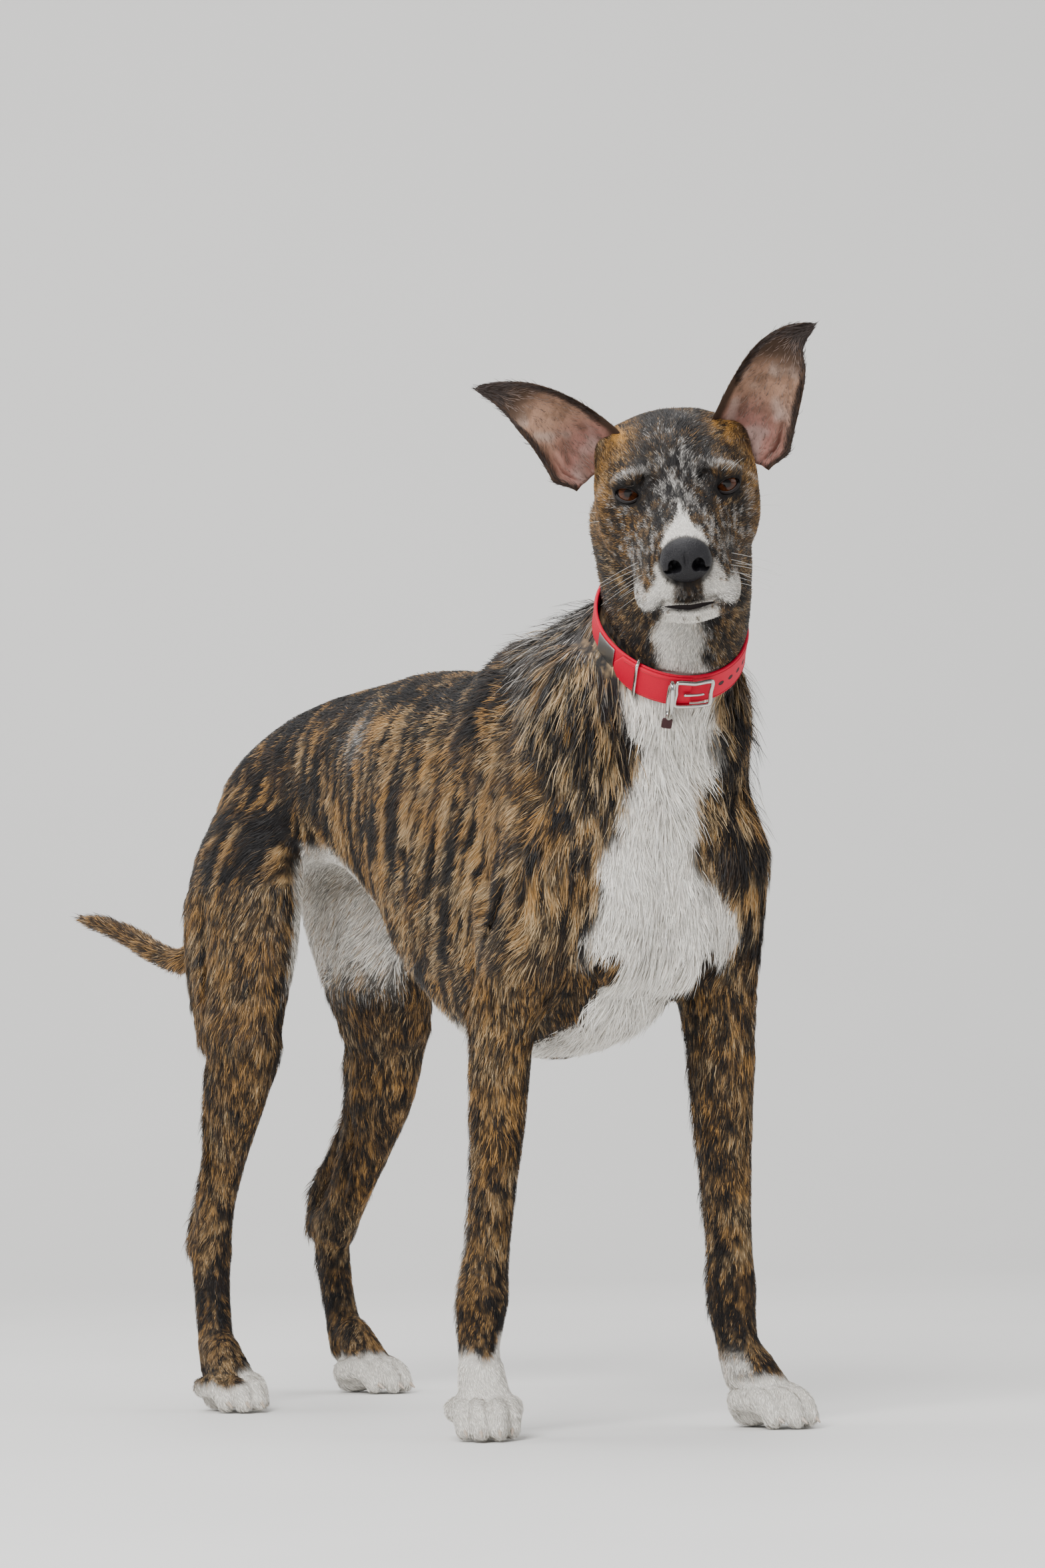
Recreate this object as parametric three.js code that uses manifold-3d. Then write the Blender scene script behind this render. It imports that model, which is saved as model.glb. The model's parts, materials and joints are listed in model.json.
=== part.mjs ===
// Standing greyhound with a red collar, head turned to its right.
// Millimetres, +Z up, the dog faces -Y, its own left side is +X.
import * as THREE from 'three';
import { mergeVertices } from 'three/addons/utils/BufferGeometryUtils.js';
import Module from 'manifold-3d';

const wasm = await Module();
wasm.setup();

const GAP = 0.3; // clearance between neighbouring pieces
const FAR = 40; // field value away from any form
const { degToRad } = THREE.MathUtils;

// Sizes
// Torso stations from breast to tail root: y, back line, belly line, half width, height of the widest point.
const TORSO = [
  [-384, 540, 452, 26, 0.55], [-372, 590, 418, 58, 0.55], [-345, 628, 388, 78, 0.55], [-305, 655, 355, 88,
    0.56],
  [-265, 677, 340, 93, 0.56], [-225, 691, 331, 95, 0.56], [-190, 695, 328, 97, 0.55], [-150, 687, 330, 98,
    0.54],
  [-80, 682, 348, 97, 0.55], [-20, 687, 392, 92, 0.55], [20, 687, 432, 85, 0.54], [70, 683, 466, 76, 0.53],
  [130, 679, 498, 69, 0.52], [190, 674, 514, 64, 0.52], [250, 662, 520, 64, 0.55], [300, 643, 520, 62, 0.55],
  [340, 616, 515, 53, 0.55], [372, 588, 512, 40, 0.55], [394, 560, 520, 19, 0.55],
];
// Neck stations from the withers to the skull: x, y, z, half width across, half depth.
const NECK = [[4, -222, 604, 82, 106], [10, -287, 636, 79, 93], [22, -351, 682, 62, 80],
  [18, -382, 732, 60, 74], [9, -389, 785, 66, 71]];
const TAIL = [
  [0, 372, 590, 24, 26], [0, 405, 552, 15, 18], [0, 440, 500, 12, 13.5], [-8, 474, 452, 11.5, 12.5], [-15,
    512, 432, 11.5, 12],
  [-20, 560, 440, 11, 11.5], [-24, 610, 457, 10, 10.5], [-28, 665, 471, 8.5, 9], [-30, 715, 479, 4, 4],
];
const BREAST = { at: [34, -352, 456], size: [40, 34, 64] };
// Each fore limb: shoulder blade, upper arm, triceps, side of the neck base, forearm down to the pastern,
// and the paw.
const FORE = {
  right: {
    side: -1,
    blade: [[26, -190, 670, 16, 34], [54, -250, 592, 30, 52], [72, -314, 500, 38, 50]],
    arm: [[74, -320, 492, 40, 52], [84, -285, 425, 36, 48], [88, -250, 366, 26, 34]],
    triceps: [80, -256, 436],
    neckBase: { at: [50, -318, 612], size: [42, 60, 74] },
    leg: [
      [90, -250, 376, 25, 34], [94, -251, 330, 26, 31], [97, -248, 270, 23, 27], [102.5, -243, 200, 20,
        23], [107, -239, 150, 20.5, 22.5],
      [110, -238, 122, 23.5, 24.5], [112, -237, 104, 21.5, 23.5], [116, -240, 76, 18.5, 20], [118, -246, 50,
        19, 21],
    ],
    paw: { x: -124, y: -262, turn: -25 },
  },
  left: {
    side: 1,
    blade: [[28, -200, 670, 16, 34], [73, -284, 600, 35, 56], [80, -340, 505, 40, 50]],
    arm: [[78, -342, 494, 42, 52], [88, -318, 426, 38, 50], [94, -313, 366, 27, 36]],
    triceps: [84, -300, 436],
    neckBase: { at: [60, -334, 618], size: [48, 62, 80] },
    leg: [
      [94, -312, 376, 28, 37], [97, -311, 330, 28, 34], [99.5, -308, 270, 24, 29], [103.5, -304, 200, 20.5,
        24.5], [107, -301, 150, 20, 22.5],
      [109, -299, 120, 22.5, 23.5], [110, -298, 102, 21, 22.5], [112, -302, 74, 19, 20], [114, -312, 48, 20,
        22],
    ],
    paw: { x: 123, y: -334, turn: 12 },
  },
};
// Each hind limb: thigh, knee, second thigh, point of hock, rear pastern and paw.
const HIND = {
  right: {
    side: -1,
    thigh: [[40, 298, 588, 26, 48], [57, 286, 538, 37, 76], [66, 279, 490, 44, 91], [78, 263, 425, 41, 85],
      [90, 246, 370, 33, 68]],
    knee: [96, 206, 345],
    shank: [[95, 228, 352, 29, 45], [97, 244, 310, 25, 46], [98, 267, 250, 19, 31], [98, 287, 205, 16, 26],
      [98, 298, 168, 17, 25], [98, 302, 148, 18, 25]],
    heel: [[97, 308, 206, 7, 9], [97, 324, 182, 10, 12], [97, 326, 152, 13, 18]],
    pastern: [[98, 303, 150, 18, 25], [101, 295, 112, 17, 19.5], [105, 284, 72, 17, 19],
      [108, 268, 42, 19, 20]],
    hockHeight: 136,
    paw: { x: -111, y: 240, turn: -2 },
  },
  left: {
    side: 1,
    thigh: [[40, 298, 588, 26, 48], [57, 290, 538, 37, 76], [66, 288, 490, 47, 93], [79, 288, 425, 45, 86],
      [92, 294, 370, 36, 70]],
    knee: [98, 276, 346],
    shank: [[96, 302, 352, 31, 52], [97, 310, 315, 28, 54], [98, 338, 262, 21, 40],
      [98, 369, 218, 16.5, 32], [98, 396, 184, 16.5, 28], [98, 412, 164, 18, 27]],
    heel: [[98, 432, 216, 7, 9], [98, 447, 194, 10, 12], [98, 446, 162, 13, 20]],
    pastern: [[98, 424, 168, 17, 25], [101, 423, 122, 15.5, 21], [105, 418, 76, 16, 19.5],
      [108, 408, 46, 19, 21]],
    hockHeight: 148,
    paw: { x: 111, y: 373, turn: 16 },
  },
};
const ELBOW_HEIGHT = 372; // cut between shoulder and forearm
const ARMPIT_X = 64; // inner side of the forearm cut
const KNEE_HEIGHT = 366; // cut between thigh and second thigh
const PASTERN_HEIGHT = 52; // cut between leg and paw
const LOIN_Y = -10; // cut between chest and loin
const TAIL_Y = 398; // cut between rump and tail
const HEAD_CUT = { at: [12, -375, 738], normal: [0.07, -0.5, 0.86] };
const NECK_CUT = { at: [6, -300, 640], normal: [0.04, -0.7, 0.71] };
// The thigh is cut from the rump by a slanting side plane and a front plane: offset, height of the offset,
// slope.
const THIGH_SIDE = { x: 44, z: 500, slope: 0.26 };
const THIGH_FRONT = { y: 175, z: 480, slope: 0.43 };

// Toes in the paw's own frame, toes towards -y: x, y, turn; and the chain of each toe from root to tip.
const TOES = [[-21.5, -11, -14], [-8.4, -27, -4], [8.4, -27, 4], [21.5, -11, 14]];
const TOE_CHAIN = [[0, 26, 25, 8.5, 10], [0, 7, 27, 9.3, 11], [0, -6, 21, 9.6, 11.5], [0, -13, 11, 9, 10]];
const HIND_PAW = { width: 0.94, height: 0.93 };
const FORE_PAW = { width: 1, height: 1 };
const CLAW = { length: 11, root: 3.1, tip: 0.8, drop: 5, sides: 6, rings: 3 };

// Head in its own frame: nose towards -y, its left +x, up +z.
const HEAD_AT = [-8, -425, 828];
const HEAD_TURN = [27, -4.7, -29.5]; // nod, tilt and turn in degrees
const HEAD = [
  [-172, 2, -40, 12, 0.45], [-165, 6, -62, 24, 0.42], [-152, 9, -75, 33, 0.38], [-128, 13, -80, 38,
    0.36], [-104, 17, -81, 41, 0.38],
  [-84, 22, -81, 46, 0.42], [-64, 31, -80, 56, 0.47], [-45, 40, -78, 67, 0.51], [-20, 46, -74, 70,
    0.54], [10, 49, -68, 68, 0.56],
  [40, 45, -58, 60, 0.58], [65, 34, -42, 44, 0.6], [80, 20, -12, 20, 0.6],
];
const CHEEK = { at: [44, -8, -34], size: [21, 44, 34] };
const BROW = { at: [39, -57, 23], size: [18, 15, 9], tilt: 20 };
const LIP = { at: [30, -122, -56], size: [15, 48, 18] };
const STOP_HOLLOW = { at: [25, -76, 22], size: [8, 18, 8] };
const FURROW = { at: [0, -20, 52], size: [4, 50, 5] };
const EAR_ROOT = { at: [54, 24, 20], size: [18, 26, 22] };
const EYE = { at: [41, -58, 12], radius: 11.5, lid: 13.6, slit: [9.4, 9, 4.7], front: 11, out: 2.2 };
const NOSE = { at: [0, -166, -12], size: [23, 13, 20] };
const NOSTRIL = { at: [10.5, -178, -15], size: [4.6, 7, 4.2], slit: [15.5, -176, -20] };
const MOUTH = { front: [0, -170, -48], corner: [44, -84, -57], depth: 9, height: 1.8, steps: 12 };
// Ear spine from root to tip, half widths along it and how far the cup closes.
const EARS = {
  right: { side: -1, spine: [[-66, 18, 10], [-80, 22, 31], [-98, 22, 51], [-118, 24, 66], [-140, 34, 75],
    [-161, 46, 79]], half: [24, 30, 29, 23, 13, 3], cup: [1.25, 1.15, 1.0, 0.9, 0.7, 0.5] },
  left: { side: 1, spine: [[60, 18, 10], [71, 22, 34], [84, 22, 62], [97, 22, 86], [111, 30, 101],
    [130, 42, 108]], half: [24, 31, 32, 26, 15, 3], cup: [1.25, 1.15, 1.0, 0.9, 0.7, 0.5] },
};
const EAR_THICKNESS = 4;
const EAR_GRID = { along: 11, across: 8 };

// Collar: a strap round the neck in a tilted plane, buckle on the front, plate on the dog's right side.
const COLLAR = { at: [12, -362, 701], normal: [-0.28, -0.68, 0.68], front: [-0.507, -0.862, 0], width: 31,
  thick: 3.2, sink: 1.5, steps: 40 };
const TONGUE = { from: -33, to: 23, point: 9 };
const KEEPER = { at: -12.5, wire: 1.5 };
const RING = { at: 10, radius: 19, wire: 2.1 };
const BUCKLE = { from: 14, to: 34, wire: 1.9 };
const PLATE = { from: -59, to: -36, thick: 1.2, width: 28 };
const TAG = { width: 9, height: 11, thick: 2 };

// Finishes
const finish = (color, roughness, metalness = 0) => new THREE.MeshStandardMaterial({ color, roughness,
  metalness });
const BRINDLE = finish(0x4b3a2b, 0.9);
const WHITE_COAT = finish(0xd9d2c4, 0.9);
const LEATHER = finish(0x22242a, 0.45);
const IRIS = finish(0x4a2410, 0.08);
const HORN = finish(0xb9a58c, 0.5);
const RED_STRAP = finish(0xc01630, 0.45);
const METAL = finish(0xc4c8cc, 0.25, 1);

// Fields
const smoothMin = (a, b, k) => {
  if (k <= 0) return Math.min(a, b);
  const h = Math.max(k - Math.abs(a - b), 0) / k;
  return Math.min(a, b) - (h * h * h * k) / 6;
};

/** Hermite spline through (xs, ys) at x. */
function spline(x, xs, ys) {
  const n = xs.length;
  const c = Math.min(Math.max(x, xs[0]), xs[n - 1]);
  let i = 0;
  while (i < n - 2 && c > xs[i + 1]) i += 1;
  const slope = (j) => {
    if (j === 0) return (ys[1] - ys[0]) / (xs[1] - xs[0]);
    if (j === n - 1) return (ys[j] - ys[j - 1]) / (xs[j] - xs[j - 1]);
    const a = xs[j] - xs[j - 1];
    const b = xs[j + 1] - xs[j];
    return (a * a * ys[j + 1] + (b * b - a * a) * ys[j] - b * b * ys[j - 1]) / (a * b * (a + b));
  };
  const h = xs[i + 1] - xs[i];
  const t = (c - xs[i]) / h;
  const t2 = t * t;
  const t3 = t2 * t;
  const start = (2 * t3 - 3 * t2 + 1) * ys[i] + (t3 - 2 * t2 + t) * h * slope(i);
  return start + (3 * t2 - 2 * t3) * ys[i + 1] + (t3 - t2) * h * slope(i + 1);
}

const place = (at = [0, 0, 0], [nod, tilt, turn] = [0, 0, 0]) =>
  new THREE.Matrix4()
    .makeRotationFromEuler(new THREE.Euler(degToRad(nod), degToRad(tilt), degToRad(turn), 'ZXY'))
    .setPosition(...at);
const WORLD = place();

/** Reads world points in a frame as plain numbers. */
function reader(frame) {
  const m = frame.clone().invert().elements;
  return (x, y, z, out) => {
    out[0] = m[0] * x + m[4] * y + m[8] * z + m[12];
    out[1] = m[1] * x + m[5] * y + m[9] * z + m[13];
    out[2] = m[2] * x + m[6] * y + m[10] * z + m[14];
    return out;
  };
}

/** World box of local corners grown by a margin. */
function boxOf(frame, lo, hi) {
  const box = new THREE.Box3(new THREE.Vector3(...lo), new THREE.Vector3(...hi)).applyMatrix4(frame);
  return { lo: box.min.toArray(), hi: box.max.toArray() };
}

/** Ellipsoid: centre and radii in a frame, with a tilt about its own y. */
function ball(at, size, frame = WORLD, tilt = 0) {
  const own = frame.clone().multiply(place(at, [0, tilt, 0]));
  const read = reader(own);
  const q = [0, 0, 0];
  const [a, b, c] = size;
  return {
    ...boxOf(own, size.map((s) => -s), size),
    at(x, y, z) {
      read(x, y, z, q);
      const m = Math.hypot(q[0] / a, q[1] / b, q[2] / c);
      const g = Math.hypot(q[0] / (a * a), q[1] / (b * b), q[2] / (c * c)) + 1e-6;
      return (m * (m - 1)) / g;
    },
  };
}

/** Tapering elliptical tube along stations [x, y, z, across, deep]. */
function limb(stations, frame = WORLD) {
  const n = stations.length;
  const index = stations.map((_, i) => i);
  const count = n > 2 ? (n - 1) * 3 + 1 : n;
  const fine = Array.from({ length: count }, (_, i) => {
    const t = (i * (n - 1)) / (count - 1);
    return [0, 1, 2, 3, 4].map((j) => (n > 2 ? spline(t, index, stations.map((s) => s[j])) : stations[i][j]));
  });
  const read = reader(frame);
  const parts = [];
  for (let i = 0; i < count - 1; i += 1) {
    const [a, b] = [fine[i], fine[i + 1]];
    const axis = new THREE.Vector3(b[0] - a[0], b[1] - a[1], b[2] - a[2]);
    const length = axis.length();
    axis.normalize();
    const side = new THREE.Vector3(1, 0, 0).addScaledVector(axis, -axis.x).normalize();
    const deep = new THREE.Vector3().crossVectors(axis, side);
    parts.push({ a, b, length, axis, side, deep });
  }
  const lo = [0, 1, 2].map((j) => Math.min(...fine.map((s) => s[j] - Math.max(s[3], s[4]))));
  const hi = [0, 1, 2].map((j) => Math.max(...fine.map((s) => s[j] + Math.max(s[3], s[4]))));
  const q = [0, 0, 0];
  return {
    ...boxOf(frame, lo, hi),
    at(x, y, z) {
      read(x, y, z, q);
      let best = Infinity;
      for (const { a, b, length, axis, side, deep } of parts) {
        const dx = q[0] - a[0];
        const dy = q[1] - a[1];
        const dz = q[2] - a[2];
        const run = dx * axis.x + dy * axis.y + dz * axis.z;
        const t = Math.min(Math.max(run / length, 0), 1);
        const over = run - t * length;
        const u = dx * side.x + dy * side.y + dz * side.z;
        const w = dx * deep.x + dy * deep.y + dz * deep.z;
        const ru = a[3] + t * (b[3] - a[3]);
        const rw = a[4] + t * (b[4] - a[4]);
        const rm = Math.min(ru, rw);
        const m = Math.hypot(u / ru, w / rw, over / rm);
        const g = Math.hypot(u / (ru * ru), w / (rw * rw), over / (rm * rm)) + 1e-6;
        best = Math.min(best, (m * (m - 1)) / g);
      }
      return best;
    },
  };
}

/** Body of cross-sections along y: rows [y, top, bottom, half width, height of the widest point]. */
function loft(rows, frame = WORLD, power = 2.2) {
  const ys = rows.map((r) => r[0]);
  const [y0, y1] = [ys[0], ys[ys.length - 1]];
  const steps = 400;
  const table = [1, 2, 3, 4].map((j) => {
    const values = rows.map((r) => r[j]);
    return Float64Array.from({ length: steps + 1 }, (_, i) => spline(y0 + ((y1 - y0) * i) / steps, ys, values));
  });
  const read = reader(frame);
  const q = [0, 0, 0];
  const wide = Math.max(...rows.map((r) => r[3]));
  const lo = [-wide, y0, Math.min(...rows.map((r) => r[2]))];
  const hi = [wide, y1, Math.max(...rows.map((r) => r[1]))];
  return {
    ...boxOf(frame, lo, hi),
    at(x, y, z) {
      read(x, y, z, q);
      const s = Math.min(Math.max(((q[1] - y0) / (y1 - y0)) * steps, 0), steps);
      const i = Math.min(Math.floor(s), steps - 1);
      const f = s - i;
      const get = (t) => t[i] + f * (t[i + 1] - t[i]);
      const [top, bottom, w0, high] = table.map(get);
      const w = Math.max(w0, 1);
      const c = bottom + (top - bottom) * high;
      const h = Math.max(q[2] > c ? top - c : c - bottom, 1);
      const m = (Math.abs(q[0]) / w) ** power + (Math.abs(q[2] - c) / h) ** power;
      const k = m ** (1 / power);
      const r = Math.hypot(q[0], q[2] - c);
      const v = Math.max(k > 1e-4 ? r * (1 - 1 / k) : -Math.min(w, h), -Math.min(w, h));
      const end = Math.max(y0 - q[1], q[1] - y1);
      return end > 0 ? Math.hypot(Math.max(v, 0), end) : v;
    },
  };
}

class Sculpture {
  constructor() {
    this.forms = [];
  }

  form(shape, blend, cut) {
    const m = blend + 2;
    this.forms.push({ ...shape, lo: shape.lo.map((v) => v - m), hi: shape.hi.map((v) => v + m), blend, cut });
    return this;
  }

  add(shape, blend) {
    return this.form(shape, blend, false);
  }

  cut(shape, blend) {
    return this.form(shape, blend, true);
  }

  at(x, y, z) {
    let v = FAR;
    for (const f of this.forms) {
      if (x < f.lo[0] || y < f.lo[1] || z < f.lo[2] || x > f.hi[0] || y > f.hi[1] || z > f.hi[2]) continue;
      const d = f.at(x, y, z);
      v = f.cut ? -smoothMin(-v, d, f.blend) : smoothMin(v, d, f.blend);
    }
    return v;
  }

  /** Closed surface of the forms inside a box of a frame, as points in that frame. */
  surface(frame, lo, hi, step) {
    const n = [0, 1, 2].map((i) => Math.ceil((hi[i] - lo[i]) / step) + 1);
    const value = new Float32Array(n[0] * n[1] * n[2]);
    const id = (i, j, k) => (i * n[1] + j) * n[2] + k;
    const e = frame.elements;
    for (let i = 0; i < n[0]; i += 1) {
      for (let j = 0; j < n[1]; j += 1) {
        for (let k = 0; k < n[2]; k += 1) {
          const border = i === 0 || j === 0 || k === 0 || i === n[0] - 1 || j === n[1] - 1 || k === n[2] - 1;
          const [x, y, z] = [lo[0] + i * step, lo[1] + j * step, lo[2] + k * step];
          value[id(i, j, k)] = border ? step : this.at(
            e[0] * x + e[4] * y + e[8] * z + e[12],
            e[1] * x + e[5] * y + e[9] * z + e[13],
            e[2] * x + e[6] * y + e[10] * z + e[14],
          );
        }
      }
    }
    closeDiagonals(value, n, id);
    return nets(value, n, id, lo, step);
  }
}

/** Fills corners where two sheets would share an edge of the surface. */
function closeDiagonals(value, n, id) {
  const quads = [[[0, 0, 0], [1, 0, 0], [1, 1, 0], [0, 1, 0]], [[0, 0, 0], [0, 1, 0], [0, 1, 1], [0, 0, 1]],
    [[0, 0, 0], [1, 0, 0], [1, 0, 1], [0, 0, 1]]];
  for (let pass = 0, changed = true; changed && pass < 12; pass += 1) {
    changed = false;
    for (let i = 1; i < n[0] - 2; i += 1) {
      for (let j = 1; j < n[1] - 2; j += 1) {
        for (let k = 1; k < n[2] - 2; k += 1) {
          for (const quad of quads) {
            const c = quad.map(([a, b, d]) => id(i + a, j + b, k + d));
            const s = c.map((v) => value[v] < 0);
            if (s[0] === s[2] && s[1] === s[3] && s[0] !== s[1]) {
              const out = s[0] ? [c[1], c[3]] : [c[0], c[2]];
              value[value[out[0]] < value[out[1]] ? out[0] : out[1]] = -0.05;
              changed = true;
            }
          }
        }
      }
    }
  }
}

/** Surface nets: one point in each crossed cell, one quad for each crossed grid edge. */
function nets(value, n, id, lo, step) {
  const points = [];
  const cell = new Int32Array(value.length).fill(-1);
  const corners = [[0, 0, 0], [1, 0, 0], [0, 1, 0], [1, 1, 0], [0, 0, 1], [1, 0, 1], [0, 1, 1], [1, 1, 1]];
  const edges = [[0, 1], [2, 3], [4, 5], [6, 7], [0, 2], [1, 3], [4, 6], [5, 7], [0, 4], [1, 5], [2, 6],
    [3, 7]];
  for (let i = 0; i < n[0] - 1; i += 1) {
    for (let j = 0; j < n[1] - 1; j += 1) {
      for (let k = 0; k < n[2] - 1; k += 1) {
        const v = corners.map(([a, b, c]) => value[id(i + a, j + b, k + c)]);
        const inside = v.filter((d) => d < 0).length;
        if (inside === 0 || inside === 8) continue;
        const sum = [0, 0, 0];
        let hits = 0;
        for (const [a, b] of edges) {
          if (v[a] < 0 === v[b] < 0) continue;
          const t = v[a] / (v[a] - v[b]);
          for (let q = 0; q < 3; q += 1) sum[q] += corners[a][q] + t * (corners[b][q] - corners[a][q]);
          hits += 1;
        }
        cell[id(i, j, k)] = points.length / 3;
        points.push(lo[0] + (i + sum[0] / hits) * step, lo[1] + (j + sum[1] / hits) * step,
          lo[2] + (k + sum[2] / hits) * step);
      }
    }
  }
  const faces = [];
  for (let i = 0; i < n[0] - 1; i += 1) {
    for (let j = 0; j < n[1] - 1; j += 1) {
      for (let k = 0; k < n[2] - 1; k += 1) {
        const here = value[id(i, j, k)] < 0;
        const ring = (other, a, b, c, d) => {
          if (here === value[other] < 0) return;
          const q = here ? [a, b, c, d] : [d, c, b, a];
          const far = (u, v) => Math.hypot(points[3 * u] - points[3 * v],
            points[3 * u + 1] - points[3 * v + 1], points[3 * u + 2] - points[3 * v + 2]);
          if (far(q[0], q[2]) < far(q[1], q[3])) faces.push(q[0], q[1], q[2], q[0], q[2], q[3]);
          else faces.push(q[0], q[1], q[3], q[1], q[2], q[3]);
        };
        if (j > 0 && k > 0) ring(id(i + 1, j, k), cell[id(i, j - 1, k - 1)], cell[id(i, j, k - 1)],
          cell[id(i, j, k)], cell[id(i, j - 1, k)]);
        if (i > 0 && k > 0) ring(id(i, j + 1, k), cell[id(i - 1, j, k - 1)], cell[id(i - 1, j, k)],
          cell[id(i, j, k)], cell[id(i, j, k - 1)]);
        if (i > 0 && j > 0) ring(id(i, j, k + 1), cell[id(i - 1, j - 1, k)], cell[id(i, j - 1, k)],
          cell[id(i, j, k)], cell[id(i - 1, j, k)]);
      }
    }
  }
  return { points, faces };
}

/** Joins points along the flattest edges until the surface has no more than `target` triangles. */
function relax({ points, faces }, target) {
  const n = points.length / 3;
  const around = Array.from({ length: n }, () => new Set());
  const quadric = new Float64Array(n * 10);
  const stamp = new Int32Array(n);
  const count = faces.length / 3;
  const alive = new Uint8Array(count).fill(1);
  const normalOf = (f, swap, p) => {
    const q = [0, 1, 2].map((j) => {
      const v = faces[3 * f + j];
      return swap.includes(v) ? p : [points[3 * v], points[3 * v + 1], points[3 * v + 2]];
    });
    const a = [q[1][0] - q[0][0], q[1][1] - q[0][1], q[1][2] - q[0][2]];
    const b = [q[2][0] - q[0][0], q[2][1] - q[0][1], q[2][2] - q[0][2]];
    const c = [a[1] * b[2] - a[2] * b[1], a[2] * b[0] - a[0] * b[2], a[0] * b[1] - a[1] * b[0]];
    return { c, size: Math.hypot(...c), at: q[0] };
  };
  for (let f = 0; f < count; f += 1) {
    const { c, size, at } = normalOf(f, [], null);
    const [a, b, d] = size > 0 ? c.map((v) => v / size) : [0, 0, 0];
    const w = -(a * at[0] + b * at[1] + d * at[2]);
    const plane = [a * a, a * b, a * d, a * w, b * b, b * d, b * w, d * d, d * w, w * w];
    for (let j = 0; j < 3; j += 1) {
      const v = faces[3 * f + j];
      around[v].add(f);
      for (let q = 0; q < 10; q += 1) quadric[10 * v + q] += plane[q] * size;
    }
  }
  const heap = [];
  const push = (item) => {
    let i = heap.push(item) - 1;
    while (i > 0) {
      const p = (i - 1) >> 1;
      if (heap[p].cost <= item.cost) break;
      heap[i] = heap[p];
      i = p;
    }
    heap[i] = item;
  };
  const pop = () => {
    const top = heap[0];
    const last = heap.pop();
    if (heap.length > 0) {
      let i = 0;
      for (;;) {
        let c = 2 * i + 1;
        if (c >= heap.length) break;
        if (c + 1 < heap.length && heap[c + 1].cost < heap[c].cost) c += 1;
        if (heap[c].cost >= last.cost) break;
        heap[i] = heap[c];
        i = c;
      }
      heap[i] = last;
    }
    return top;
  };
  const offer = (a, b) => {
    const q = Array.from({ length: 10 }, (_, i) => quadric[10 * a + i] + quadric[10 * b + i]);
    const mid = [0, 1, 2].map((i) => (points[3 * a + i] + points[3 * b + i]) / 2);
    const hold = 1e-3 * (q[0] + q[4] + q[7]) + 1e-9;
    const m = new THREE.Matrix3().set(q[0] + hold, q[1], q[2], q[1], q[4] + hold, q[5], q[2], q[5],
      q[7] + hold);
    const at = new THREE.Vector3(hold * mid[0] - q[3], hold * mid[1] - q[6],
      hold * mid[2] - q[8]).applyMatrix3(m.invert()).toArray();
    const [x, y, z] = at;
    const mixed = q[1] * x * y + q[2] * x * z + q[5] * y * z + q[3] * x + q[6] * y + q[8] * z;
    const cost = q[0] * x * x + q[4] * y * y + q[7] * z * z + q[9] + 2 * mixed;
    const long = Math.hypot(points[3 * a] - points[3 * b], points[3 * a + 1] - points[3 * b + 1],
      points[3 * a + 2] - points[3 * b + 2]);
    push({ cost: Math.max(cost, 0) + 1e-4 * long ** 3, a, b, at, sa: stamp[a], sb: stamp[b] });
  };
  const near = (v) => {
    const out = new Set();
    for (const f of around[v]) for (let j = 0; j < 3; j += 1) out.add(faces[3 * f + j]);
    out.delete(v);
    return out;
  };
  for (let v = 0; v < n; v += 1) for (const w of near(v)) if (w > v) offer(v, w);
  let left = count;
  while (left > target && heap.length > 0) {
    const { a, b, at, sa, sb } = pop();
    if (stamp[a] !== sa || stamp[b] !== sb || around[a].size === 0 || around[b].size === 0) continue;
    const na = near(a);
    if (!na.has(b) || [...near(b)].filter((v) => na.has(v)).length !== 2) continue;
    const both = [...around[a]].filter((f) => around[b].has(f));
    const rest = [...around[a], ...around[b]].filter((f) => !both.includes(f));
    const turns = rest.some((f) => {
      const before = normalOf(f, [], null);
      const after = normalOf(f, [a, b], at);
      const dot = before.c[0] * after.c[0] + before.c[1] * after.c[1] + before.c[2] * after.c[2];
      return dot < 0.25 * before.size * after.size || after.size < 1e-4;
    });
    if (turns) continue;
    for (const f of both) {
      alive[f] = 0;
      left -= 1;
      for (let j = 0; j < 3; j += 1) around[faces[3 * f + j]].delete(f);
    }
    for (const f of around[b]) {
      for (let j = 0; j < 3; j += 1) if (faces[3 * f + j] === b) faces[3 * f + j] = a;
      around[a].add(f);
    }
    around[b] = new Set();
    for (let i = 0; i < 3; i += 1) points[3 * a + i] = at[i];
    for (let i = 0; i < 10; i += 1) quadric[10 * a + i] += quadric[10 * b + i];
    stamp[a] += 1;
    stamp[b] += 1;
    for (const v of near(a)) offer(a, v);
  }
  const kept = [];
  for (let f = 0; f < count; f += 1) if (alive[f]) kept.push(faces[3 * f], faces[3 * f + 1], faces[3 * f + 2]);
  return { points, faces: kept };
}

// Solids
function toGeometry({ points, faces }) {
  const geometry = new THREE.BufferGeometry();
  geometry.setAttribute('position', new THREE.Float32BufferAttribute(points, 3));
  geometry.setIndex(faces);
  return geometry;
}

function toSolid(geometry) {
  const bare = geometry.clone();
  bare.deleteAttribute('normal');
  bare.deleteAttribute('uv');
  const merged = mergeVertices(bare, 1e-4);
  const solid = new wasm.Manifold(new wasm.Mesh({
    numProp: 3,
    vertProperties: new Float32Array(merged.attributes.position.array),
    triVerts: new Uint32Array(merged.index.array),
  }));
  return solid;
}

/** Largest closed piece of a solid as geometry. */
function fromSolid(solid) {
  const pieces = solid.decompose();
  const best = pieces.reduce((a, b) => (b.volume() > a.volume() ? b : a));
  const mesh = best.getMesh();
  return toGeometry({ points: Array.from(mesh.vertProperties), faces: Array.from(mesh.triVerts) });
}

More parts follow.
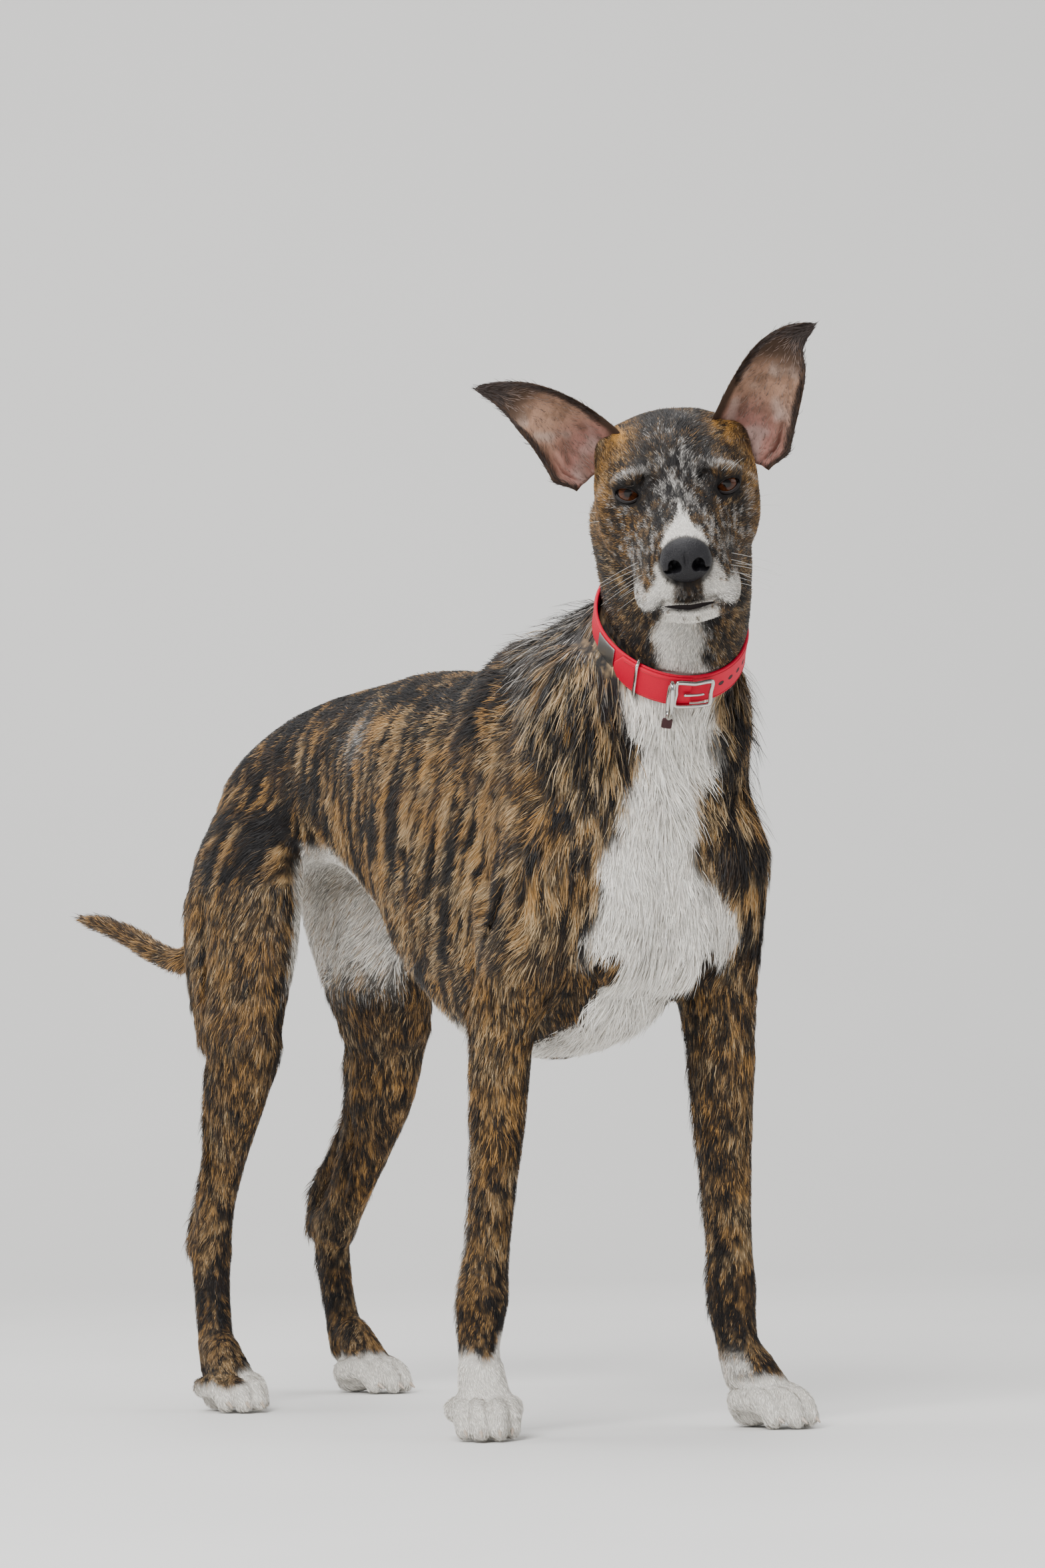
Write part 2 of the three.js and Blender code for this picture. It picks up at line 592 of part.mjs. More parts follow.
/** Keeps the side of a plane that its normal points to, a little clear of the plane. */
function trim(solid, at, normal, frame = WORLD) {
  const n = new THREE.Vector3(...normal).normalize();
  const p = new THREE.Vector3(...at);
  const inverse = frame.clone().invert();
  p.applyMatrix4(inverse);
  n.transformDirection(inverse);
  return solid.trimByPlane(n.toArray(), n.dot(p) + GAP / 2);
}

const flip = (v) => v.map((a) => -a);

/** Closed tube of rings of points, each ring the same length, both ends capped. */
function skinned(rings) {
  const n = rings[0].length;
  const points = rings.flat(2);
  const faces = [];
  for (let i = 0; i < rings.length - 1; i += 1) {
    for (let j = 0; j < n; j += 1) {
      const [a, b, c, d] = [i * n + j, i * n + ((j + 1) % n), (i + 1) * n + ((j + 1) % n), (i + 1) * n + j];
      faces.push(a, b, c, a, c, d);
    }
  }
  for (let j = 1; j < n - 1; j += 1) {
    faces.push(0, j + 1, j);
    const e = (rings.length - 1) * n;
    faces.push(e, e + j, e + j + 1);
  }
  return toGeometry({ points, faces });
}

/** Closed ring of sections joined end to end. */
function looped(rings) {
  const n = rings[0].length;
  const points = rings.flat(2);
  const faces = [];
  for (let i = 0; i < rings.length; i += 1) {
    const next = (i + 1) % rings.length;
    for (let j = 0; j < n; j += 1) {
      const [a, b, c, d] = [i * n + j, i * n + ((j + 1) % n), next * n + ((j + 1) % n), next * n + j];
      faces.push(a, b, c, a, c, d);
    }
  }
  return toGeometry({ points, faces });
}

/** Turns a closed geometry so that its faces point out. */
function outward(geometry) {
  const p = geometry.attributes.position;
  const i = geometry.index.array;
  const [a, b, c] = [new THREE.Vector3(), new THREE.Vector3(), new THREE.Vector3()];
  let volume = 0;
  for (let f = 0; f < i.length; f += 3) {
    volume += a.fromBufferAttribute(p, i[f]).dot(b.fromBufferAttribute(p,
      i[f + 1]).cross(c.fromBufferAttribute(p, i[f + 2])));
  }
  if (volume < 0) for (let f = 0; f < i.length; f += 3) [i[f + 1], i[f + 2]] = [i[f + 2], i[f + 1]];
  return geometry;
}

const mirrored = (stations, side) => stations.map(([x, ...rest]) => [side * x, ...rest]);
const headFrame = place(HEAD_AT, HEAD_TURN);
const pawFrame = ({ x, y, turn }) => place([x, y, 0], [0, 0, turn]);

function pawForms(dog, paw, { width, height }) {
  const frame = pawFrame(paw);
  dog.add(ball([0, 16, 20], [24 * width, 26, 19], frame), 8);
  const chain = TOE_CHAIN.map(([a, b, c, r, d]) => [a, b, c * height, r * width, d * height]);
  for (const [x, y, turn] of TOES) {
    dog.add(limb(chain, frame.clone().multiply(place([x * width, y, 0], [0, 0, -0.7 * turn]))), 3);
  }
  dog.add(ball([0, 20, 10], [19 * width, 18, 10], frame), 3);
}

function sculptDog() {
  const dog = new Sculpture();
  dog.add(loft(TORSO), 0).add(limb(NECK), 36);
  for (const { side, blade, arm, triceps, neckBase, leg, paw } of Object.values(FORE)) {
    const at = ([x, y, z]) => [side * x, y, z];
    dog.add(limb(mirrored(blade, side)), 26).add(limb(mirrored(arm, side)), 24);
    dog.add(ball(at(triceps), [28, 52, 66]), 24).add(ball(at(BREAST.at), BREAST.size), 26);
    dog.add(ball(at(neckBase.at), neckBase.size), 30).add(limb(mirrored(leg, side)), 16);
    pawForms(dog, paw, FORE_PAW);
  }
  for (const { side, thigh, knee, shank, heel, pastern, paw } of Object.values(HIND)) {
    dog.add(limb(mirrored(thigh, side)), 34).add(ball([side * knee[0], knee[1], knee[2]], [22, 24, 36]), 22);
    dog.add(limb(mirrored(shank, side)), 16).add(limb(mirrored(heel, side)),
      8).add(limb(mirrored(pastern, side)), 6);
    pawForms(dog, paw, HIND_PAW);
  }
  dog.add(limb(TAIL), 16);
  dog.add(loft(HEAD, headFrame, 2.3), 18);
  for (const side of [-1, 1]) {
    const at = ([x, y, z]) => [side * x, y, z];
    dog.add(ball(at(CHEEK.at), CHEEK.size, headFrame), 18).add(ball(at(BROW.at), BROW.size, headFrame,
      side * BROW.tilt), 14);
    dog.add(ball(at(LIP.at), LIP.size, headFrame), 16).cut(ball(at(STOP_HOLLOW.at), STOP_HOLLOW.size,
      headFrame), 12);
    dog.add(ball(at(EYE.at), [EYE.lid, EYE.lid, EYE.lid - 1], headFrame),
      6).add(ball(at(EAR_ROOT.at), EAR_ROOT.size, headFrame), 14);
  }
  dog.cut(ball(FURROW.at, FURROW.size, headFrame), 10);
  return dog;
}

const dog = sculptDog();
const greyhound = new THREE.Group();
const headGroup = new THREE.Group();
headGroup.position.set(...HEAD_AT);
headGroup.rotation.set(degToRad(HEAD_TURN[0]), degToRad(HEAD_TURN[1]), degToRad(HEAD_TURN[2]), 'ZXY');
greyhound.add(headGroup);

function piece(name, geometry, material, parent = greyhound) {
  const mesh = new THREE.Mesh(geometry, material);
  mesh.name = name;
  parent.add(mesh);
  return mesh;
}

/** Solid of the dog inside a box, thinned to a number of triangles. */
const carve = (lo, hi, step, triangles, frame = WORLD) => toSolid(toGeometry(relax(dog.surface(frame, lo,
  hi, step), triangles)));
const box = (lo, hi) => {
  const g = new THREE.BoxGeometry(hi[0] - lo[0], hi[1] - lo[1], hi[2] - lo[2]);
  g.translate((lo[0] + hi[0]) / 2, (lo[1] + hi[1]) / 2, (lo[2] + hi[2]) / 2);
  return toSolid(g);
};

// Collar
const collarFrame = (() => {
  const n = new THREE.Vector3(...COLLAR.normal).normalize();
  const f = new THREE.Vector3(...COLLAR.front);
  f.addScaledVector(n, -f.dot(n)).normalize();
  const s = new THREE.Vector3().crossVectors(n, f);
  return new THREE.Matrix4().makeBasis(f, s, n).setPosition(...COLLAR.at);
})();
const collarGroup = new THREE.Group();
collarGroup.applyMatrix4(collarFrame);
greyhound.add(collarGroup);

/** Radius of the neck under the strap at an angle from the front, in degrees. */
const neckRadius = (() => {
  const table = [];
  for (let i = 0; i < COLLAR.steps; i += 1) {
    const a = (i * 2 * Math.PI) / COLLAR.steps;
    let r = 30;
    const p = new THREE.Vector3();
    while (r < 140) {
      p.set(Math.cos(a) * r, Math.sin(a) * r, 0).applyMatrix4(collarFrame);
      if (dog.at(p.x, p.y, p.z) > 0) break;
      r += 0.5;
    }
    table.push(r);
  }
  const smooth = table.map((_, i) => [-2, -1, 0, 1, 2].reduce((s,
    d) => s + table[(i + d + COLLAR.steps) % COLLAR.steps], 0) / 5);
  return (degrees) => {
    const t = ((((degrees / 360) % 1) + 1) % 1) * COLLAR.steps;
    const i = Math.floor(t) % COLLAR.steps;
    return smooth[i] + (t - Math.floor(t)) * (smooth[(i + 1) % COLLAR.steps] - smooth[i]);
  };
})();
const onCollar = (degrees, out, height) => {
  const a = degToRad(degrees);
  const r = neckRadius(degrees) - COLLAR.sink + out;
  return [Math.cos(a) * r, Math.sin(a) * r, height];
};
const band = (from, to, steps, inner, outer, halfAt, close) => {
  const rings = [];
  for (let i = 0; i < steps + (close ? 0 : 1); i += 1) {
    const t = i / steps;
    const d = from + (to - from) * t;
    const h = halfAt(t);
    rings.push([onCollar(d, inner, -h), onCollar(d, outer, -h), onCollar(d, outer, h), onCollar(d, inner, h)]);
  }
  return outward(close ? looped(rings) : skinned(rings));
};
const half = COLLAR.width / 2;
piece('collar_strap', band(0, 360, COLLAR.steps * 1.2, 0, COLLAR.thick, () => half, true), RED_STRAP,
  collarGroup);
const strapSpace = band(0, 360, COLLAR.steps * 1.2, -GAP, COLLAR.thick + 40, () => half + GAP, true);
strapSpace.applyMatrix4(collarFrame);
const keeperSpace = band(KEEPER.at - 4, KEEPER.at + 4, 2, -2 * KEEPER.wire - 1.2, COLLAR.thick + 40,
  () => half + 2 * KEEPER.wire + 1.2, false);
keeperSpace.applyMatrix4(collarFrame);
const clearOfStrap = (solid, frame = WORLD) => [strapSpace, keeperSpace]
  .reduce((rest, space) => rest.subtract(toSolid(space.clone().applyMatrix4(frame.clone().invert()))), solid);
const tongueBase = COLLAR.thick + GAP;
piece('collar_tongue', band(TONGUE.from, TONGUE.to, 16, tongueBase, tongueBase + COLLAR.thick,
  (t) => Math.min(half, 4 + (half - 4) * (t * 8)), false), RED_STRAP, collarGroup);
piece('collar_plate', band(PLATE.from, PLATE.to, 8, tongueBase, tongueBase + PLATE.thick,
  () => PLATE.width / 2, false), METAL, collarGroup);

/** Round wire bent along a closed loop of points. */
function wireLoop(points, radius, sides = 7) {
  const curve = new THREE.CatmullRomCurve3(points.map((p) => new THREE.Vector3(...p)), true, 'catmullrom', 0.2);
  const steps = points.length * 2;
  const centre = points.reduce((s, p) => s.add(new THREE.Vector3(...p)),
    new THREE.Vector3()).divideScalar(points.length);
  const rings = [];
  for (let i = 0; i < steps; i += 1) {
    const p = curve.getPoint(i / steps);
    const tangent = curve.getTangent(i / steps);
    const out = p.clone().sub(centre);
    out.addScaledVector(tangent, -out.dot(tangent)).normalize();
    const up = new THREE.Vector3().crossVectors(tangent, out);
    rings.push(Array.from({ length: sides }, (_, j) => {
      const a = (j * 2 * Math.PI) / sides;
      return p.clone().addScaledVector(out, Math.cos(a) * radius).addScaledVector(up,
        Math.sin(a) * radius).toArray();
    }));
  }
  return outward(looped(rings));
}
const topOfStrap = tongueBase + COLLAR.thick + GAP;
{
  const w = KEEPER.wire;
  const inner = -w - GAP;
  const outer = topOfStrap + w;
  const h = half + w + GAP;
  piece('collar_keeper', wireLoop([[inner, -h], [outer, -h], [outer, 0], [outer, h], [inner, h],
    [inner, 0]].map(([o, z]) => onCollar(KEEPER.at, o, z)), w), METAL, collarGroup);
}
{
  const w = BUCKLE.wire;
  const out = topOfStrap + w + 0.4;
  const h = half - 2.2;
  const { from, to } = BUCKLE;
  const loop = [[from, -h], [(from + to) / 2, -h], [to, -h], [to, 0], [to, h], [(from + to) / 2, h],
    [from, h], [from, 0]];
  piece('collar_buckle', wireLoop(loop.map(([d, z]) => onCollar(d, out, z)), w), METAL, collarGroup);
  const ring = (d, o, r) => Array.from({ length: 6 }, (_, j) => {
    const a = (j * Math.PI) / 3;
    return onCollar(d, o + Math.cos(a) * r, Math.sin(a) * r);
  });
  const pin = [0, 0.5, 1].map((t) => ring(from + 5 + (to - from - 10) * t, out, 1.3));
  piece('collar_prong', outward(skinned(pin)), METAL, collarGroup);
}
{
  const w = RING.wire;
  const points = Array.from({ length: 10 }, (_, i) => {
    const a = (i * 2 * Math.PI) / 10;
    return onCollar(RING.at, topOfStrap + w + 9 + Math.cos(a) * 9, Math.sin(a) * RING.radius);
  });
  piece('collar_ring', wireLoop(points, w), METAL, collarGroup);
}
{
  const { width, height, thick } = TAG;
  const g = new THREE.BoxGeometry(thick, width, height);
  const tag = piece('collar_tag', g, RED_STRAP, collarGroup);
  tag.position.set(...onCollar(RING.at, topOfStrap + RING.wire + 9,
    -RING.radius - RING.wire - 0.4 - height / 2));
}

// Eyes, nose, mouth and head
const sphere = (at, radius, size = [1, 1, 1], detail = 14) => {
  const g = new THREE.SphereGeometry(radius, detail * 2, detail);
  g.rotateX(Math.PI / 2);
  g.scale(...size);
  g.translate(...at);
  return g;
};

function noseSolid(grow) {
  const nose = new Sculpture();
  nose.add(ball(NOSE.at, NOSE.size.map((s) => s + grow)), 0);
  nose.add(ball([0, NOSE.at[1] - 1, NOSE.at[2] + 5], [20 + grow, 13 + grow, 15 + grow]), 6);
  if (grow === 0) {
    for (const side of [-1, 1]) {
      nose.cut(ball([side * NOSTRIL.at[0], NOSTRIL.at[1], NOSTRIL.at[2]], NOSTRIL.size), 1.5);
      nose.cut(ball([side * NOSTRIL.slit[0], NOSTRIL.slit[1], NOSTRIL.slit[2]], [3.6, 6, 2.2], WORLD,
        side * 30), 1);
    }
    nose.cut(ball([0, -180, -24], [0.9, 4, 9]), 0.6);
  }
  const g = nose.surface(WORLD, [-28, -186, -38], [28, -146, 14], 1.5);
  return toSolid(toGeometry(relax(g, grow === 0 ? 560 : 420)));
}

/** Thin curved wedge that parts the lips from one corner of the mouth to the other. */
function mouthSlot() {
  const { front, corner, depth, height, steps } = MOUTH;
  const rings = [];
  for (let i = 0; i <= 2 * steps; i += 1) {
    const t = (i - steps) / steps;
    const a = Math.abs(t);
    const side = Math.sign(t);
    const x = side * corner[0] * Math.sin((a * Math.PI) / 2) * 1.25;
    const y = front[1] - 8 + (corner[1] - front[1]) * (1 - Math.cos((a * Math.PI) / 2));
    const z = front[2] + (corner[2] - front[2]) * a + 3 * Math.sin(a * Math.PI * 2) - 3 * a;
    const out = new THREE.Vector3(side * Math.sin((a * Math.PI) / 2), -Math.cos((a * Math.PI) / 2), 0);
    const at = (r, h) => [x - out.x * r, y - out.y * r, z + h];
    rings.push([at(-14, height), at(-14, -height), at(depth + 9, -0.3), at(depth + 9, 0.3)]);
  }
  return toSolid(outward(skinned(rings)));
}

/** Cupped ear as a closed curved sheet. */
function earGeometry({ spine, half, cup }, thickness) {
  const index = spine.map((_, i) => i);
  const last = spine.length - 1;
  const centre = (t) => new THREE.Vector3(...[0, 1, 2].map((j) => spline(t, index, spine.map((s) => s[j]))));
  const front = [];
  const back = [];
  for (let i = 0; i <= EAR_GRID.along; i += 1) {
    const t = (last * i) / EAR_GRID.along;
    const c = centre(t);
    const along = centre(Math.min(t + 0.05, last)).sub(centre(Math.max(t - 0.05, 0))).normalize();
    const face = new THREE.Vector3(0, -1, 0);
    face.addScaledVector(along, -face.dot(along)).normalize();
    const across = new THREE.Vector3().crossVectors(along, face);
    const w = spline(t, index, half);
    const open = spline(t, index, cup);
    const r = w / Math.sin(open);
    const rowFront = [];
    const rowBack = [];
    for (let j = 0; j <= EAR_GRID.across; j += 1) {
      const a = open * ((2 * j) / EAR_GRID.across - 1);
      const rim = 1 - 0.55 * Math.abs((2 * j) / EAR_GRID.across - 1) ** 2;
      const sheet = (offset) => c.clone()
        .addScaledVector(across, (r - offset) * Math.sin(a))
        .addScaledVector(face, r - (r - offset) * Math.cos(a) - w * 0.25)
        .toArray();
      rowFront.push(sheet((thickness / 2) * rim));
      rowBack.push(sheet((-thickness / 2) * rim));
    }
    front.push(rowFront);
    back.push(rowBack);
  }
  return outward(skinned(front.map((row, i) => [...row, ...back[i].slice().reverse()])));
}

const headLo = [-112, -180, -118];
const headHi = [112, 92, 66];
let head = carve(headLo, headHi, 3.2, 2200, headFrame);
head = trim(head, HEAD_CUT.at, HEAD_CUT.normal, headFrame);
for (const side of [-1, 1]) {
  const [x, y, z] = [side * EYE.at[0], EYE.at[1], EYE.at[2]];
  head = head.subtract(toSolid(sphere([x, y, z], EYE.radius + GAP, [1, 1, 1], 8)));
  head = head.subtract(toSolid(sphere([x + side * EYE.out, y - EYE.front, z], 1, EYE.slit, 7)));
  piece(side < 0 ? 'eye_right' : 'eye_left', sphere([0, 0, 0], EYE.radius, [1, 1, 1], 8), IRIS,
    headGroup).position.set(x, y, z);
}
head = head.subtract(mouthSlot());
head = clearOfStrap(head.subtract(noseSolid(3 * GAP)), headFrame);
const headGeometry = fromSolid(head);
piece('head', headGeometry, BRINDLE, headGroup);
piece('nose', fromSolid(noseSolid(0)), LEATHER, headGroup);
const grownHead = (() => {
  const g = mergeVertices(headGeometry.clone(), 1e-4);
  g.computeVertexNormals();
  const { position, normal } = g.attributes;
  for (let i = 0; i < position.count; i += 1) {
    position.setXYZ(i, position.getX(i) + normal.getX(i) * GAP * 1.3,
      position.getY(i) + normal.getY(i) * GAP * 1.3, position.getZ(i) + normal.getZ(i) * GAP * 1.3);
  }
  return toSolid(g);
})();
for (const [name, ear] of Object.entries(EARS)) {
  piece(`ear_${name}`, fromSolid(toSolid(earGeometry(ear, EAR_THICKNESS)).subtract(grownHead)), BRINDLE,
    headGroup);
}

// Trunk
const cutHead = (solid) => trim(solid, HEAD_CUT.at, flip(HEAD_CUT.normal));
let neck = carve([-110, -480, 520], [130, -150, 840], 7, 400);
neck = clearOfStrap(trim(cutHead(neck), NECK_CUT.at, NECK_CUT.normal));
piece('neck', fromSolid(neck), BRINDLE);

let chest = carve([-150, -430, 318], [150, 20, 760], 8, 1250);
chest = trim(trim(chest, NECK_CUT.at, flip(NECK_CUT.normal)), [0, LOIN_Y, 0], [0, -1, 0]);
for (const side of [-1, 1]) {
  const x = [side * (ARMPIT_X - GAP), side * 220].sort((a, b) => a - b);
  chest = chest.subtract(box([x[0], -440, 200], [x[1], -120, ELBOW_HEIGHT + GAP / 2]));
}
piece('chest', fromSolid(clearOfStrap(chest)), BRINDLE);

/** Space of a thigh beside the rump, grown by a clearance. */
function thighSpace(side, grow) {
  const { x, z, slope } = THIGH_SIDE;
  let space = box([-400, -100, KNEE_HEIGHT - grow], [400, 600, 800]);
  space = space.trimByPlane([-side * -1, 0, slope].map((v) => v / Math.hypot(1, slope)),
    (x - grow + slope * z) / Math.hypot(1, slope));
  const f = THIGH_FRONT;
  return space.trimByPlane([0, 1, -f.slope].map((v) => v / Math.hypot(1, f.slope)),
    (f.y - grow - f.slope * f.z) / Math.hypot(1, f.slope));
}
let loin = carve([-150, -40, 440], [150, 430, 720], 8, 900);
loin = trim(trim(loin, [0, LOIN_Y, 0], [0, 1, 0]), [0, TAIL_Y, 0], [0, -1, 0]);
for (const side of [-1, 1]) loin = loin.subtract(thighSpace(side, GAP));
piece('loin', fromSolid(loin), BRINDLE);
piece('tail', fromSolid(trim(carve([-52, 370, 400], [34, 740, 600], 3.5, 330), [0, TAIL_Y, 0], [0, 1, 0])),
  BRINDLE);

// Legs
const sideBox = (side, near, far, y0, y1, z0, z1) => {
  const x = [side * near, side * far].sort((a, b) => a - b);
  return [[x[0], y0, z0], [x[1], y1, z1]];
};
const flat = (solid, above, below) => {
  let s = solid;
  if (above !== null) s = trim(s, [0, 0, above], [0, 0, 1]);
  if (below !== null) s = trim(s, [0, 0, below], [0, 0, -1]);
  return s;
};

function clawGeometry(grow) {
  const rings = [];
  for (let i = 0; i < CLAW.rings; i += 1) {
    const t = i / (CLAW.rings - 1);
    const r = CLAW.root + (CLAW.tip - CLAW.root) * t ** 1.2 + grow;
    rings.push(Array.from({ length: CLAW.sides }, (_, j) => {
      const a = (j * 2 * Math.PI) / CLAW.sides;
      return [r * 0.8 * Math.cos(a), -CLAW.length * t - (t > 0.9 ? grow : 0) + (t < 0.1 ? grow : 0),
        -CLAW.drop * t * t + r * Math.sin(a)];
    }));
  }
  return outward(skinned(rings));
}

function pawPieces(name, paw, width, top) {
  const frame = pawFrame(paw);
  const group = new THREE.Group();
  group.applyMatrix4(frame);
  greyhound.add(group);
  let solid = flat(carve([-48, -62, -8], [48, 60, top + 12], 3.2, 400, frame), null, top);
  solid = solid.trimByPlane([0, 0, 1], 0);
  TOES.forEach(([x, y, turn], i) => {
    const at = place([x * width, y - 16.5, 11], [0, 0, -0.7 * turn]);
    const space = clawGeometry(GAP);
    space.applyMatrix4(at);
    solid = solid.subtract(toSolid(space));
    const claw = piece(`claw_${name}_${i + 1}`, clawGeometry(0), HORN, group);
    claw.applyMatrix4(at);
  });
  piece(`paw_${name}`, fromSolid(solid), WHITE_COAT, group);
}

for (const [name, { side, paw }] of Object.entries(FORE)) {
  const [lo, hi] = sideBox(side, ARMPIT_X - 12, 150, -380, -170, 30, 400);
  let leg = flat(carve(lo, hi, 4.5, 560), PASTERN_HEIGHT, ELBOW_HEIGHT);
  leg = trim(leg, [side * ARMPIT_X, 0, 0], [side, 0, 0]);
  piece(`foreleg_${name}`, fromSolid(leg), BRINDLE);
  pawPieces(`fore_${name}`, paw, FORE_PAW.width, PASTERN_HEIGHT);
}
for (const [name, { side, paw, hockHeight }] of Object.entries(HIND)) {
  const [lo, hi] = sideBox(side, -20, 150, 60, 430, 340, 680);
  const thigh = carve(lo, hi, 6, 760).intersect(thighSpace(side, 0));
  piece(`thigh_${name}`, fromSolid(thigh), BRINDLE);
  const y = name === 'right' ? [140, 370] : [200, 490];
  const [lo2, hi2] = sideBox(side, 50, 150, y[0], y[1], 120, 390);
  piece(`shank_${name}`, fromSolid(flat(carve(lo2, hi2, 4.5, 460), hockHeight, KNEE_HEIGHT)), BRINDLE);
  const [lo3, hi3] = sideBox(side, 60, 145, y[0] + 60, y[1], 30, 180);
  piece(`pastern_${name}`, fromSolid(flat(carve(lo3, hi3, 4, 260), PASTERN_HEIGHT, hockHeight)), BRINDLE);
  pawPieces(`hind_${name}`, paw, HIND_PAW.width, PASTERN_HEIGHT);
}

// Origin: centre of the bounding box on the floor.
greyhound.updateMatrixWorld(true);
const bounds = new THREE.Box3().setFromObject(greyhound, true);
const middle = bounds.getCenter(new THREE.Vector3());
greyhound.position.set(-middle.x, -middle.y, -bounds.min.z);

export default greyhound;
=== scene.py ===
"""Dresses the standing greyhound: one skin, its short brindle coat, face, feet and red collar."""

from __future__ import annotations

import json
import logging
import math
from dataclasses import dataclass, field
from enum import Enum, IntEnum
from typing import Callable, Sequence

import bpy
import numpy as np
from mathutils import Matrix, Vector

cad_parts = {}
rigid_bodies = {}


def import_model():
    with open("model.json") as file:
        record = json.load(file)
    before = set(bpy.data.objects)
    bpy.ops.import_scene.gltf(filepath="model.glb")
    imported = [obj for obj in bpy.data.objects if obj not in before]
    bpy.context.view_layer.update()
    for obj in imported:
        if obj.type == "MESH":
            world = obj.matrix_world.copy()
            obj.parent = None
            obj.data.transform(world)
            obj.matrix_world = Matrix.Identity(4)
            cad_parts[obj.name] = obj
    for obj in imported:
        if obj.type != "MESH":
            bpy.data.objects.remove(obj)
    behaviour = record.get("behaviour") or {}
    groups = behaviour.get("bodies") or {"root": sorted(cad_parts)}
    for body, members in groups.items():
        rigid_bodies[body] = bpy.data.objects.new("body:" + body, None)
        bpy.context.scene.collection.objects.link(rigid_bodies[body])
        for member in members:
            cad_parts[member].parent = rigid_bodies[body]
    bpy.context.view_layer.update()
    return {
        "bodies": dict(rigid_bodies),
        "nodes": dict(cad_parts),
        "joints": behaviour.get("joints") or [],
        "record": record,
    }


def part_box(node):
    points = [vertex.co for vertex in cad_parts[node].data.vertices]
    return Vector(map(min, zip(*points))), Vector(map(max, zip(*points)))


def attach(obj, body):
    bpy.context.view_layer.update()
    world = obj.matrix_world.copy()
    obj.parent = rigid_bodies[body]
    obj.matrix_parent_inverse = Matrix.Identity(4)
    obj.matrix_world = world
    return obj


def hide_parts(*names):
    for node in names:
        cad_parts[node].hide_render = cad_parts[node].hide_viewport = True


LOG = logging.getLogger("greyhound")
MM = 0.001
FAR = 40.0
F32 = np.float32
Array = np.ndarray
Numbers = Sequence[float]
Rows = Sequence[Sequence[float]]

# Sizes in millimetres, the dog facing -y with its own left at +x.
TORSO = (
    (-384, 540, 452, 26, 0.55), (-372, 590, 418, 58, 0.55), (-345, 628, 388, 78, 0.55),
    (-305, 655, 355, 88, 0.56), (-265, 677, 340, 93, 0.56), (-225, 691, 331, 95, 0.56),
    (-190, 695, 328, 97, 0.55), (-150, 687, 330, 98, 0.54), (-80, 682, 348, 97, 0.55),
    (-20, 687, 392, 92, 0.55), (20, 687, 432, 85, 0.54), (70, 683, 466, 76, 0.53),
    (130, 679, 498, 69, 0.52), (190, 674, 514, 64, 0.52), (250, 662, 520, 64, 0.55),
    (300, 643, 520, 62, 0.55), (340, 616, 515, 53, 0.55), (372, 588, 512, 40, 0.55),
    (394, 560, 520, 19, 0.55),
)
NECK = (
    (4, -222, 604, 82, 106), (10, -287, 636, 79, 93), (22, -351, 682, 62, 80),
    (18, -382, 732, 60, 74), (9, -389, 785, 66, 71),
)
NECK_AT = (6, -300, 640)
NECK_WAY = (0.04, -0.7, 0.71)
TAIL = (
    (0, 372, 590, 24, 26), (0, 405, 552, 15, 18), (0, 440, 500, 12, 13.5), (-8, 474, 452, 11.5, 12.5),
    (-15, 512, 432, 11.5, 12), (-20, 560, 440, 11, 11.5), (-24, 610, 457, 10, 10.5),
    (-28, 665, 471, 8.5, 9), (-30, 715, 479, 4, 4),
)
HEAD_AT = (-8.0, -425.0, 828.0)
HEAD_TURN = (27.0, -4.7, -29.5)
HEAD_ROWS = (
    (-172, 2, -40, 12, 0.45), (-165, 6, -62, 24, 0.42), (-152, 9, -75, 33, 0.38), (-128, 13, -80, 38, 0.36),
    (-104, 17, -81, 41, 0.38), (-84, 22, -81, 46, 0.42), (-64, 31, -80, 56, 0.47), (-45, 40, -78, 67, 0.51),
    (-20, 46, -74, 70, 0.54), (10, 49, -68, 68, 0.56), (40, 45, -58, 60, 0.58), (65, 34, -42, 44, 0.6),
    (80, 20, -12, 20, 0.6),
)
EYE_AT = (41.0, -58.0, 12.0)
EYE_RADIUS = 11.5
NOSE_AT = (0.0, -166.0, -12.0)
COLLAR_AT = (12.0, -362.0, 701.0)
COLLAR_NORMAL = (-0.28, -0.68, 0.68)
COLLAR_FRONT = (-0.507, -0.862, 0.0)
FOOT_TOP = 66
TOES = ((-21.5, -11, -14), (-8.4, -27, -4), (8.4, -27, 4), (21.5, -11, 14))
TOE_CHAIN = ((0, 26, 25, 8.5, 10), (0, 7, 27, 9.3, 11), (0, -6, 21, 9.6, 11.5), (0, -13, 11, 9, 10))


class Side(Enum):
    """The dog's own right and left, as the sign of x."""

    RIGHT = -1
    LEFT = 1

    @property
    def label(self) -> str:
        """The side's name in node names."""
        return self.name.lower()


def turn(axis: str, degrees: float) -> Array:
    """Rotation matrix about one axis.

    Args:
        axis: x, y or z.
        degrees: angle by the right-hand rule.

    Returns:
        A 3 by 3 matrix.
    """
    c, s = math.cos(math.radians(degrees)), math.sin(math.radians(degrees))
    rows = {
        "x": ((1, 0, 0), (0, c, -s), (0, s, c)),
        "y": ((c, 0, s), (0, 1, 0), (-s, 0, c)),
        "z": ((c, -s, 0), (s, c, 0), (0, 0, 1)),
    }
    return np.array(rows[axis])


def smooth(low: float, high: float, x: Array) -> Array:
    """Smooth step of x from 0 at low to 1 at high."""
    t = np.clip((x - low) / (high - low), 0.0, 1.0)
    return t * t * (3.0 - 2.0 * t)


def bell(*terms: tuple[Array, float, float]) -> Array:
    """1 where every value is at its middle, fading over its width."""
    return np.exp(-sum(((x - middle) / width) ** 2 for x, middle, width in terms))


